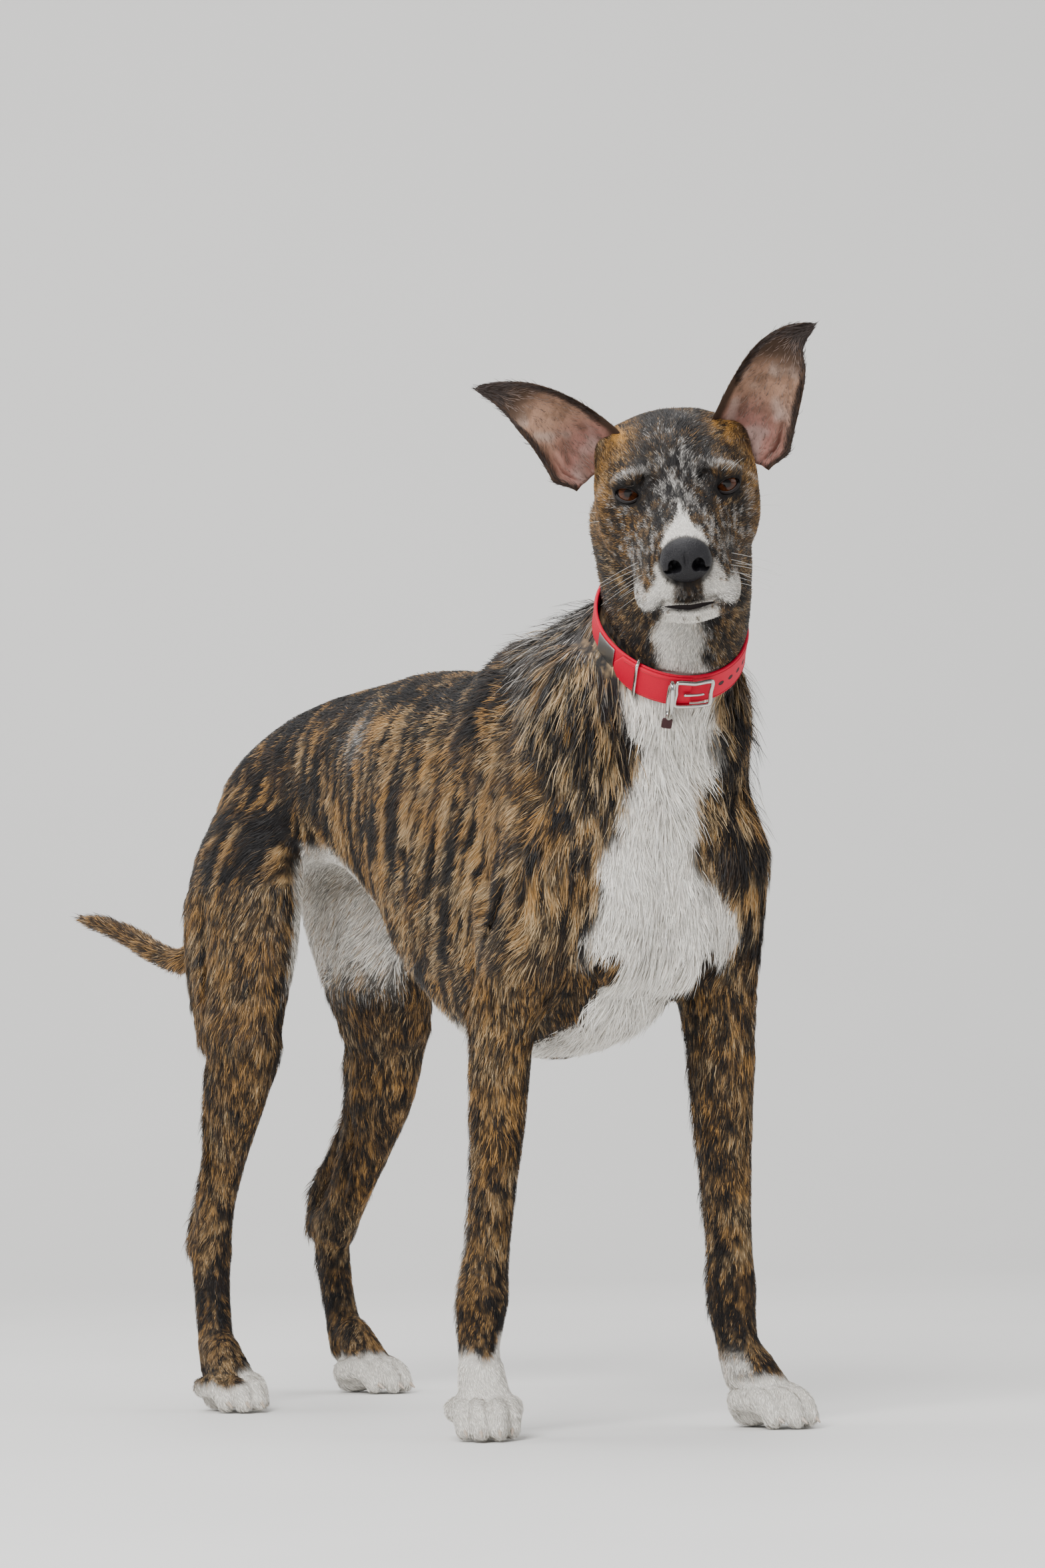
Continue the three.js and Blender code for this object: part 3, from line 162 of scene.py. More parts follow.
def unit(vectors: Array) -> Array:
    """Vectors scaled to length one."""
    return vectors / np.maximum(np.linalg.norm(vectors, axis=-1, keepdims=True), 1e-9)


def spline(x: Array, xs: Numbers, ys: Numbers) -> Array:
    """Hermite spline through given values.

    Args:
        x: where to read it.
        xs: rising positions.
        ys: values at them.

    Returns:
        The values at x.
    """
    xs, ys = np.asarray(xs, float), np.asarray(ys, float)
    slope = np.gradient(ys, xs)
    x = np.clip(x, xs[0], xs[-1])
    i = np.clip(np.searchsorted(xs, x) - 1, 0, len(xs) - 2)
    h = xs[i + 1] - xs[i]
    t = (x - xs[i]) / h
    t2, t3 = t * t, t * t * t
    start = (2 * t3 - 3 * t2 + 1) * ys[i] + (t3 - 2 * t2 + t) * h * slope[i]
    return start + (3 * t2 - 2 * t3) * ys[i + 1] + (t3 - t2) * h * slope[i + 1]


@dataclass(frozen=True)
class Place:
    """A frame in the dog's millimetres: an origin and three axes in columns."""

    origin: Array = field(default_factory=lambda: np.zeros(3))
    axes: Array = field(default_factory=lambda: np.eye(3))

    def world(self, points: Array | Rows) -> Array:
        """Own points in the dog's frame."""
        return self.origin + np.asarray(points, float) @ self.axes.T

    def local(self, points: Array) -> Array:
        """Points of the dog's frame in the own one."""
        return (points - self.origin.astype(points.dtype)) @ self.axes.astype(points.dtype)

    def child(self, origin: Numbers, axes: Array | None = None) -> Place:
        """A frame set in this one."""
        return Place(self.world(origin), self.axes if axes is None else self.axes @ axes)


def box_corners(low: Numbers, high: Numbers) -> Array:
    """The eight corners of a box."""
    return np.array(
        [(x, y, z) for x in (low[0], high[0]) for y in (low[1], high[1]) for z in (low[2], high[2])]
    )


def along_neck(points: Array) -> Array:
    """How far points lie above the middle of the collar, along the neck."""
    return (points - np.array(COLLAR_AT)) @ unit(np.array(COLLAR_NORMAL))


WORLD = Place()
HEAD = Place(np.array(HEAD_AT), turn("z", HEAD_TURN[2]) @ turn("x", HEAD_TURN[0]) @ turn("y", HEAD_TURN[1]))


@dataclass(frozen=True)
class Part:
    """One measured piece of a form, with the box it fills."""

    low: Array
    high: Array
    measure: Callable[[Array], Array]


class Form:
    """A shape given by its signed distance, in parts."""

    def parts(self) -> list[Part]:
        """The form's parts."""
        raise NotImplementedError


@dataclass(frozen=True)
class Ball(Form):
    """An ellipsoid in a frame."""

    at: Numbers
    size: Numbers
    place: Place = WORLD
    axes: Array | None = None

    def parts(self) -> list[Part]:
        """One part.

        Returns:
            The ellipsoid alone.
        """
        own = self.place.child(self.at, self.axes)
        size = np.asarray(self.size, F32)
        reach = np.abs(own.axes) @ np.asarray(self.size, float)

        def measure(points: Array) -> Array:
            """Distance from the ellipsoid."""
            q = own.local(points) / size
            m = np.sqrt((q * q).sum(-1))
            q = q / size
            return m * (m - 1) / (np.sqrt((q * q).sum(-1)) + F32(1e-6))

        return [Part(own.origin - reach, own.origin + reach, measure)]


@dataclass(frozen=True)
class Limb(Form):
    """A tapering elliptical tube along stations of x, y, z, half width across and half depth."""

    stations: Rows
    place: Place = WORLD

    def fine(self) -> Array:
        """The stations with two more between each pair.

        Returns:
            Rows like the stations.
        """
        rows = np.array(self.stations, float)
        n = len(rows)
        if n < 3:
            return rows
        t = np.linspace(0, n - 1, (n - 1) * 3 + 1)
        return np.stack([spline(t, range(n), rows[:, i]) for i in range(5)], 1)

    def parts(self) -> list[Part]:
        """One part between each pair of stations.

        Returns:
            The stretches.
        """
        rows = self.fine()
        found = []
        for a, b in zip(rows[:-1], rows[1:]):
            ends = self.place.world(np.array([a[:3], b[:3]]))
            reach = max(a[3], a[4], b[3], b[4])
            found.append(Part(ends.min(0) - reach, ends.max(0) + reach, self.measure_between(a, b)))
        return found

    def measure_between(self, a: Array, b: Array) -> Callable[[Array], Array]:
        """Distance from one stretch of the tube.

        Args:
            a: first station.
            b: second station.

        Returns:
            The measuring function.
        """
        length = np.linalg.norm(b[:3] - a[:3])
        along = (b[:3] - a[:3]) / length
        side = unit(np.array([1.0, 0, 0]) - along * along[0])
        basis = np.stack([side, np.cross(along, side), along], 1).astype(F32)
        start, length = a[:3].astype(F32), F32(length)
        r0, dr = a[3:5].astype(F32), (b[3:5] - a[3:5]).astype(F32)

        def measure(points: Array) -> Array:
            """Distance from the stretch."""
            q = (self.place.local(points) - start) @ basis
            t = np.clip(q[..., 2] / length, 0, 1)
            r = r0 + t[..., None] * dr
            r = np.concatenate([r, r.min(-1, keepdims=True)], -1)
            q[..., 2] -= t * length
            q = q / r
            m = np.sqrt((q * q).sum(-1))
            q = q / r
            return m * (m - 1) / (np.sqrt((q * q).sum(-1)) + F32(1e-6))

        return measure


@dataclass(frozen=True)
class Loft(Form):
    """Cross-sections along y: rows of y, top, bottom, half width and height of the widest point."""

    rows: Rows
    place: Place = WORLD
    power: float = 2.2

    def parts(self) -> list[Part]:
        """One part.

        Returns:
            The loft alone.
        """
        rows = np.array(self.rows, float)
        ys = np.linspace(rows[0, 0], rows[-1, 0], 600)
        table = [spline(ys, rows[:, 0], rows[:, i]) for i in (1, 2, 3, 4)]
        low = (-rows[:, 3].max(), rows[0, 0], rows[:, 2].min())
        high = (rows[:, 3].max(), rows[-1, 0], rows[:, 1].max())
        corners = self.place.world(box_corners(low, high))
        n = F32(self.power)

        def measure(points: Array) -> Array:
            """Distance from the loft."""
            q = self.place.local(points)
            y = q[..., 1]
            top, bottom, wide, share = (np.interp(y, ys, t).astype(F32) for t in table)
            wide = np.maximum(wide, F32(1))
            middle = bottom + (top - bottom) * share
            dz = q[..., 2] - middle
            tall = np.maximum(np.where(dz > 0, top - middle, middle - bottom), F32(1))
            m = ((np.abs(q[..., 0]) / wide) ** n + (np.abs(dz) / tall) ** n) ** (1 / n)
            inner = -np.minimum(wide, tall)
            d = np.maximum(
                np.where(m > 1e-4, np.hypot(q[..., 0], dz) * (1 - 1 / np.maximum(m, F32(1e-4))), inner),
                inner
            )
            end = np.maximum(F32(rows[0, 0]) - y, y - F32(rows[-1, 0]))
            return np.where(end > 0, np.hypot(np.maximum(d, 0), np.maximum(end, 0)), d)

        return [Part(corners.min(0), corners.max(0), measure)]


@dataclass
class Surface:
    """A mesh in the dog's millimetres."""

    points: Array
    faces: Array

    def normals(self) -> Array:
        """Point normals, weighted by face area.

        Returns:
            Unit vectors.
        """
        p, f = self.points, self.faces
        across = np.cross(p[f[:, 2]] - p[f[:, 0]], p[f[:, -1]] - p[f[:, 1]]) if f.shape[1] == 4 else \
            np.cross(p[f[:, 1]] - p[f[:, 0]], p[f[:, 2]] - p[f[:, 0]])
        total = np.zeros_like(p)
        for k in range(f.shape[1]):
            for i in range(3):
                total[:, i] += np.bincount(f[:, k], across[:, i], len(p))
        return unit(total)

    def relaxed(self, rounds: int, share: float = 0.5) -> Surface:
        """The mesh with each point drawn towards its neighbours.

        Args:
            rounds: how many times.
            share: how far towards their mean.

        Returns:
            A new mesh.
        """
        p, f = self.points.copy(), self.faces
        pairs = np.concatenate(
            [np.stack([f[:, k], f[:, (k + 1) % f.shape[1]]], 1) for k in range(f.shape[1])]
        )
        pairs = np.concatenate([pairs, pairs[:, ::-1]])
        count = np.maximum(np.bincount(pairs[:, 0], minlength=len(p)), 1)
        for _ in range(rounds):
            mean = (
                np.stack([np.bincount(pairs[:, 0], p[pairs[:, 1], i], len(p)) for i in range(3)], 1)
                / count[:, None]
            )
            p += share * (mean - p)
        return Surface(p, f)

    def kept(self, keep: Array) -> Surface:
        """The faces whose points are all kept, without unused points.

        Args:
            keep: true at the points that stay.

        Returns:
            A new mesh.
        """
        faces = self.faces[keep[self.faces].all(1)]
        used = np.unique(faces)
        index = np.full(len(self.points), -1)
        index[used] = np.arange(len(used))
        return Surface(self.points[used], index[faces])


def joined(parts: Sequence[Surface]) -> Surface:
    """Several meshes of the same kind of face as one."""
    starts = np.cumsum([0] + [len(s.points) for s in parts[:-1]])
    return Surface(
        np.concatenate([s.points for s in parts]),
        np.concatenate([s.faces + k for s, k in zip(parts, starts)])
    )


class Sculpture:
    """Forms blended in order into one closed shape."""

    def __init__(self) -> None:
        """Starts with nothing."""
        self.steps: list[tuple[list[Part], float, bool]] = []

    def add(self, form: Form, blend: float) -> Sculpture:
        """Joins a form with a soft transition."""
        self.steps.append((form.parts(), blend, False))
        return self

    def carve(self, form: Form, blend: float) -> Sculpture:
        """Takes a form away with a soft edge."""
        self.steps.append((form.parts(), blend, True))
        return self

    @staticmethod
    def mixed(a: Array, b: Array, blend: float, cut: bool) -> Array:
        """Smooth minimum of two distances, or their cut."""
        sign = F32(-1 if cut else 1)
        a = a * sign
        h = np.maximum(blend - np.abs(a - b), 0) / max(blend, 1e-6)
        return sign * (np.minimum(a, b) - h * h * h * F32(blend / 6))

    def at(self, points: Array) -> Array:
        """Distances at loose points.

        Args:
            points: where to measure, in millimetres.

        Returns:
            Distances, negative inside.
        """
        points = points.astype(F32)
        value = np.full(len(points), FAR, F32)
        for parts, blend, cut in self.steps:
            near = np.minimum.reduce([p.measure(points) for p in parts])
            value = self.mixed(value, near, blend, cut)
        return value

    def sample(self, place: Place, low: Numbers, high: Numbers, step: float) -> Array:
        """Distances on a grid of a frame.

        Args:
            place: the grid's frame.
            low: its lowest corner.
            high: its highest corner.
            step: the spacing.

        Returns:
            A three-dimensional array.
        """
        low = np.asarray(low, float)
        n = np.ceil((np.asarray(high) - low) / step).astype(int) + 1
        value = np.full(n, FAR, F32)
        axes = [low[i] + step * np.arange(n[i]) for i in range(3)]

        def window(part: Part, margin: float) -> tuple[Array, Array] | None:
            """First and last grid index that a part reaches."""
            c = place.local(box_corners(part.low, part.high))
            a = np.clip(np.floor((c.min(0) - margin - low) / step).astype(int), 0, n)
            b = np.clip(np.ceil((c.max(0) + margin - low) / step).astype(int) + 1, 0, n)
            return None if (b <= a).any() else (a, b)

        for parts, blend, cut in self.steps:
            found = [(p, w) for p, w in ((p, window(p, blend + 2)) for p in parts) if w is not None]
            if not found:
                continue
            a = np.min([w[0] for _, w in found], 0)
            b = np.max([w[1] for _, w in found], 0)
            near = np.full(b - a, FAR, F32)
            for part, (c, d) in found:
                grid = np.stack(np.meshgrid(*[axes[i][c[i]:d[i]] for i in range(3)], indexing="ij"), -1)
                inner = tuple(slice(c[i] - a[i], d[i] - a[i]) for i in range(3))
                near[inner] = np.minimum(near[inner], part.measure(place.world(grid).astype(F32)))
            outer = tuple(slice(a[i], b[i]) for i in range(3))
            value[outer] = self.mixed(value[outer], near, blend, cut)
        return value

    def surface(self, place: Place, low: Numbers, high: Numbers, step: float) -> Surface:
        """The shape's surface inside a box, open where it leaves the box."""
        net = surface_net(self.sample(place, low, high, step))
        return Surface(place.world(np.asarray(low) + step * net.points), net.faces)


def surface_net(value: Array) -> Surface:
    """Quads round the zero level of a grid, in grid units.

    Args:
        value: distances, negative inside.

    Returns:
        A mesh whose faces point out.
    """
    inside = value < 0
    n = value.shape
    corners = [(i, j, k) for i in (0, 1) for j in (0, 1) for k in (0, 1)]
    count = sum(
        inside[i:n[0] - 1 + i, j:n[1] - 1 + j, k:n[2] - 1 + k].astype(np.int8) for i, j, k in corners
    )
    active = (count > 0) & (count < 8)
    cells = np.argwhere(active)
    index = -np.ones(active.shape, np.int64)
    index[active] = np.arange(len(cells))
    at = {
        c: value[cells[:, 0] + c[0], cells[:, 1] + c[1], cells[:, 2] + c[2]].astype(float) for c in corners
    }
    total, hits = np.zeros((len(cells), 3)), np.zeros(len(cells))
    for a in corners:
        for axis in range(3):
            if a[axis]:
                continue
            b = tuple(1 if i == axis else a[i] for i in range(3))
            crossed = (at[a] < 0) != (at[b] < 0)
            t = np.where(crossed, at[a] / np.where(crossed, at[a] - at[b], 1), 0)
            for i in range(3):
                total[:, i] += np.where(crossed, a[i] + (t if i == axis else 0), 0)
            hits += crossed
    quads = []
    for axis in range(3):
        u, v = (axis + 1) % 3, (axis + 2) % 3
        first = inside[tuple(slice(0, n[i] - (i == axis)) for i in range(3))]
        second = inside[tuple(slice(int(i == axis), n[i]) for i in range(3))]
        edge = np.argwhere(first != second)
        edge = edge[(edge[:, u] > 0) & (edge[:, v] > 0) & (edge[:, u] < n[u] - 1) & (edge[:, v] < n[v] - 1)]
        ring = []
        for du, dv in ((1, 1), (0, 1), (0, 0), (1, 0)):
            e = edge.copy()
            e[:, u] -= du
            e[:, v] -= dv
            ring.append(index[tuple(e.T)])
        quad = np.stack(ring, 1)
        quads.append(np.where(first[tuple(edge.T)][:, None], quad, quad[:, ::-1]))
    return Surface(cells + total / hits[:, None], np.concatenate(quads))


def noise(points: Array, size: float, seed: int) -> Array:
    """Smooth random values between -1 and 1 with the given feature size.

    Args:
        points: where to measure, in millimetres.
        size: feature size.
        seed: picks the pattern.

    Returns:
        One value for each point.
    """
    q = points / size
    cell = np.floor(q).astype(np.int64)
    f = q - cell
    f = f * f * (3 - 2 * f)
    total = np.zeros(len(points))
    for i in (0, 1):
        for j in (0, 1):
            for k in (0, 1):
                h = (
                    (cell[:, 0] + i) * 73856093 ^ (cell[:, 1] + j) * 19349663 ^ (cell[:, 2] + k)
                    * 83492791 ^ seed * 2654435761
                )
                h = (h ^ (h >> 13)) * 1274126177 & 0x7FFFFFFF
                h = (h ^ (h >> 15)) & 0xFFFF
                w = (
                    (f[:, 0] if i else 1 - f[:, 0]) * (f[:, 1] if j else 1 - f[:, 1])
                    * (f[:, 2] if k else 1 - f[:, 2])
                )
                total += w * (h / 32767.5 - 1)
    return total


@dataclass(frozen=True)
class Paw:
    """One foot's place on the floor, its turn and its proportions."""

    x: float
    y: float
    turned: float
    width: float = 1.0
    height: float = 1.0

    def frame(self) -> Place:
        """The foot's frame, toes towards -y."""
        return Place(np.array([self.x, self.y, 0.0]), turn("z", self.turned))

    def toe(self, number: int) -> Place:
        """The frame of one toe, counted from the dog's right."""
        x, y, angle = TOES[number]
        return self.frame().child((x * self.width, y, 0), turn("z", -0.7 * angle))

    def shape(self, dog: Sculpture) -> None:
        """Adds the foot, its toes and its pad to the dog.

        Args:
            dog: the form to add to.
        """
        frame, w, h = self.frame(), self.width, self.height
        dog.add(Ball((0, 16, 20), (24 * w, 26, 19), frame), 8)
        chain = [(x, y, z * h, a * w, b * h) for x, y, z, a, b in TOE_CHAIN]
        for number in range(4):
            dog.add(Limb(chain, self.toe(number)), 5)
        dog.add(Ball((0, 20, 10), (19 * w, 18, 10), frame), 3)
        dog.add(Ball((0, -6, 15), (22 * w, 17, 11), frame), 5)
        bridge = (
            (0, 22, 58, 18 * w, 17), (0, 13, 45, 21 * w, 18), (0, 3, 34, 24 * w, 16),
            (0, -7, 25, 22 * w, 12)
        )
        dog.add(Limb(bridge, frame), 8)


@dataclass(frozen=True)
class ForeLimb:
    """Shoulder, upper arm, forearm and foot of one side."""

    side: Side
    blade: Rows
    arm: Rows
    triceps: Numbers
    neck_base: Numbers
    neck_size: Numbers
    leg: Rows
    paw: Paw

    def shape(self, dog: Sculpture) -> None:
        """Adds the limb to the dog.

        Args:
            dog: the form to add to.
        """
        s = self.side.value

        def at(p: Numbers) -> tuple[float, ...]:
            """A point or station on this side."""
            return (s * p[0], *p[1:])

        dog.add(Limb([at(p) for p in self.blade]), 26).add(Limb([at(p) for p in self.arm]), 24)
        dog.add(Ball(at(self.triceps), (28, 52, 66)), 24).add(Ball(at((34, -352, 456)), (40, 34, 64)), 26)
        dog.add(Ball(at(self.neck_base), self.neck_size), 30).add(Limb([at(p) for p in self.leg]), 16)
        self.paw.shape(dog)
        x, y = self.paw.x, self.paw.y
        dog.add(Ball((x - 21 * s, y + 22, 56), (7, 9, 12)), 6)


@dataclass(frozen=True)
class HindLimb:
    """Thigh, second thigh, hock and foot of one side."""

    side: Side
    thigh: Rows
    knee: Numbers
    shank: Rows
    heel: Rows
    pastern: Rows
    paw: Paw

    def shape(self, dog: Sculpture) -> None:
        """Adds the limb to the dog.

        Args:
            dog: the form to add to.
        """
        s = self.side.value
        x, y, z, _, _ = self.heel[0]
        calf = self.shank[1]
        tendon = (
            (calf[0], calf[1] + 30, 300, 9, 14), (x, (y + calf[1] + 30) / 2 + 6, 255, 7, 10),
            (x, y + 2, z - 4, 7, 10)
        )
        for rows, blend in (
            (self.thigh, 34), (self.shank, 16), (self.heel, 8), (self.pastern, 6), (tendon, 10)
        ):
            dog.add(Limb([(s * p[0], *p[1:]) for p in rows]), blend)
            if rows is self.thigh:
                dog.add(Ball((s * self.knee[0], *self.knee[1:]), (22, 24, 36)), 22)
        self.paw.shape(dog)


FORE_LIMBS = (
    ForeLimb(
        Side.RIGHT,
        ((26, -190, 670, 16, 34), (54, -250, 592, 30, 52), (72, -314, 500, 38, 50)),
        ((74, -320, 492, 40, 52), (84, -285, 425, 36, 48), (88, -250, 366, 26, 34)),
        (80, -256, 436), (50, -318, 612), (42, 60, 74),
        (
            (90, -250, 376, 25, 34), (94, -251, 330, 26, 31), (97, -248, 270, 23, 27),
            (102.5, -243, 200, 20, 23),
            (107, -239, 150, 20.5, 22.5), (110, -238, 122, 23.5, 24.5), (112, -237, 104, 21.5, 23.5),
            (116, -240, 76, 18.5, 20), (118, -246, 50, 19, 21),
        ),
        Paw(-124, -262, -25),
    ),
    ForeLimb(
        Side.LEFT,
        ((28, -200, 670, 16, 34), (73, -284, 600, 35, 56), (80, -340, 505, 40, 50)),
        ((78, -342, 494, 42, 52), (88, -318, 426, 38, 50), (94, -313, 366, 27, 36)),
        (84, -300, 436), (60, -334, 618), (48, 62, 80),
        (
            (94, -312, 376, 28, 37), (97, -311, 330, 28, 34), (99.5, -308, 270, 24, 29),
            (103.5, -304, 200, 20.5, 24.5),
            (107, -301, 150, 20, 22.5), (109, -299, 120, 22.5, 23.5), (110, -298, 102, 21, 22.5),
            (112, -302, 74, 19, 20), (114, -312, 48, 20, 22),
        ),
        Paw(123, -334, 12),
    ),
)
HIND_LIMBS = (
    HindLimb(
        Side.RIGHT,
        (
            (40, 298, 588, 26, 48), (57, 286, 538, 37, 76), (66, 279, 490, 44, 91), (78, 263, 425, 41, 85),
            (90, 246, 370, 33, 68)
        ),
        (96, 206, 345),
        (
            (95, 228, 352, 29, 45), (97, 244, 310, 25, 46), (98, 267, 250, 19, 31), (98, 287, 205, 16, 26),
            (98, 298, 168, 17, 25), (98, 302, 148, 18, 25),
        ),
        ((97, 308, 206, 7, 9), (97, 324, 182, 10, 12), (97, 326, 152, 13, 18)),
        ((98, 303, 150, 18, 25), (101, 295, 112, 17, 19.5), (105, 284, 72, 17, 19), (108, 268, 42, 19, 20)),
        Paw(-111, 240, -2, 0.94, 0.93),
    ),
    HindLimb(
        Side.LEFT,
        (
            (40, 298, 588, 26, 48), (57, 290, 538, 37, 76), (66, 288, 490, 47, 93), (79, 288, 425, 45, 86),
            (92, 294, 370, 36, 70)
        ),
        (98, 276, 346),
        (
            (96, 302, 352, 31, 52), (97, 310, 315, 28, 54), (98, 338, 262, 21, 40), (98, 369, 218, 16.5, 32),
            (98, 396, 184, 16.5, 28), (98, 412, 164, 18, 27),
        ),
        ((98, 432, 216, 7, 9), (98, 447, 194, 10, 12), (98, 446, 162, 13, 20)),
        (
            (98, 424, 168, 17, 25), (101, 423, 122, 15.5, 21), (105, 418, 76, 16, 19.5),
            (108, 408, 46, 19, 21)
        ),
        Paw(111, 373, 16, 0.94, 0.93),
    ),
)


def mouth_line(count: int) -> Array:
    """The line between the lips in the head's frame, from the dog's right corner to its left.

    Args:
        count: how many points.

    Returns:
        Points of the line.
    """
    t = np.linspace(-1, 1, count)
    a = np.abs(t)
    x = np.sign(t) * 55 * np.sin(a * math.pi / 2)
    y = -178 + 86 * (1 - np.cos(a * math.pi / 2))
    z = -48.5 - 12 * a + 3 * np.sin(2 * math.pi * a)
    return np.stack([x, y, z], 1)


class Dog:
    """The dog's body as one blended form."""

    def __init__(self) -> None:
        """Blends trunk, limbs, tail and head."""
        self.form = Sculpture()
        self.trunk()
        for limb in FORE_LIMBS + HIND_LIMBS:
            limb.shape(self.form)
        self.form.add(Limb(TAIL), 16)
        self.muscles()
        self.head()

    def trunk(self) -> None:
        """Torso and neck."""
        self.form.add(Loft(TORSO), 0).add(Limb(NECK), 36)

    def muscles(self) -> None:
        """Muscles, tendons and hollows that show through the short coat."""
        dog = self.form
        for side in Side:
            s = side.value
            fore = FORE_LIMBS[0 if s < 0 else 1]
            y = fore.arm[1][1]
            dog.carve(Ball((s * 103, y + 58, 500), (10, 12, 70), axes=turn("x", -24)), 16)
            dog.carve(Ball((s * 108, y - 2, 470), (7, 8, 50), axes=turn("x", 22)), 14)
            dog.carve(Ball((s * 84, 160, 600), (14, 60, 34)), 26)
            hind = HIND_LIMBS[0 if s < 0 else 1]
            dog.carve(Ball((s * 112, hind.knee[1] + 72, 440), (6, 10, 60), axes=turn("x", -12)), 14)
            y = hind.shank[2][1]
            dog.carve(Ball((s * 116, y + 18, 235), (8, 9, 46), axes=turn("x", 22)), 8)
            dog.carve(Ball((s * 80, y + 18, 235), (8, 9, 46), axes=turn("x", 22)), 8)
            leg = fore.leg[3]
            dog.carve(Ball((s * (leg[0] + 19), leg[1] + 8, 225), (5, 6, 74)), 6)
        for k in range(7):
            y = -130 + 26 * k
            for s in (-1, 1):
                dog.carve(Ball((s * 98, y, 470), (3, 5, 62), axes=turn("x", 18)), 9)

    def head(self) -> None:
        """Skull, muzzle, cheeks, brows, lips, lids and ear roots."""
        dog = self.form
        dog.add(Loft(HEAD_ROWS, HEAD, 2.3), 18)
        for side in Side:
            s = side.value

            def ball(at: Numbers, size: Numbers, tilt: float = 0.0) -> Ball:
                """An ellipsoid on this side of the head."""
                return Ball((s * at[0], *at[1:]), size, HEAD, turn("y", s * tilt))

            dog.add(ball((44, -8, -34), (21, 44, 34)), 18).add(ball((39, -57, 23), (18, 15, 9), 20), 14)
            dog.add(ball((30, -122, -56), (15, 48, 18)), 16).carve(ball((25, -78, 24), (6, 15, 6)), 12)
            dog.add(ball(EYE_AT, (13.6, 13.6, 12.6)), 6).add(ball((49, 27, 14), (15, 21, 18)), 20)
            dog.add(ball((27, -150, -40), (9, 14, 15)), 7)
            dog.carve(ball((41, -130, -73), (15, 50, 13)), 6)
        dog.carve(Ball((0, -20, 52), (4, 50, 5), HEAD), 10)
        line = mouth_line(15)
        groove = [
            (*p, 2.3 - 1.3 * min(abs(p[0]) / 40, 1), 2.3 - 1.3 * min(abs(p[0]) / 40, 1)) for p in line[5:10]
        ]
        inner = [(p[0] * 0.9, p[1] + 5, p[2] + 1, 2.2, 2.2) for p in line[5:10]]
        dog.carve(Limb(groove, HEAD), 1.5).carve(Limb(inner, HEAD), 1.5)
        dog.add(Limb([(p[0] * 0.9, p[1] + 3, p[2] - 6, 3.6, 3.6) for p in line[5:10]], HEAD), 6)
        dog.carve(Ball((0, -175, -13), (19, 14, 16), HEAD), 3)
        for side in Side:
            x, y, z = EYE_AT
            dog.carve(
                Ball(
                    (side.value * (x + 2.2), y - 11, z), (10.8, 9.2, 6.9), HEAD, turn("y", side.value * -6)
                ),
                1.2
            )


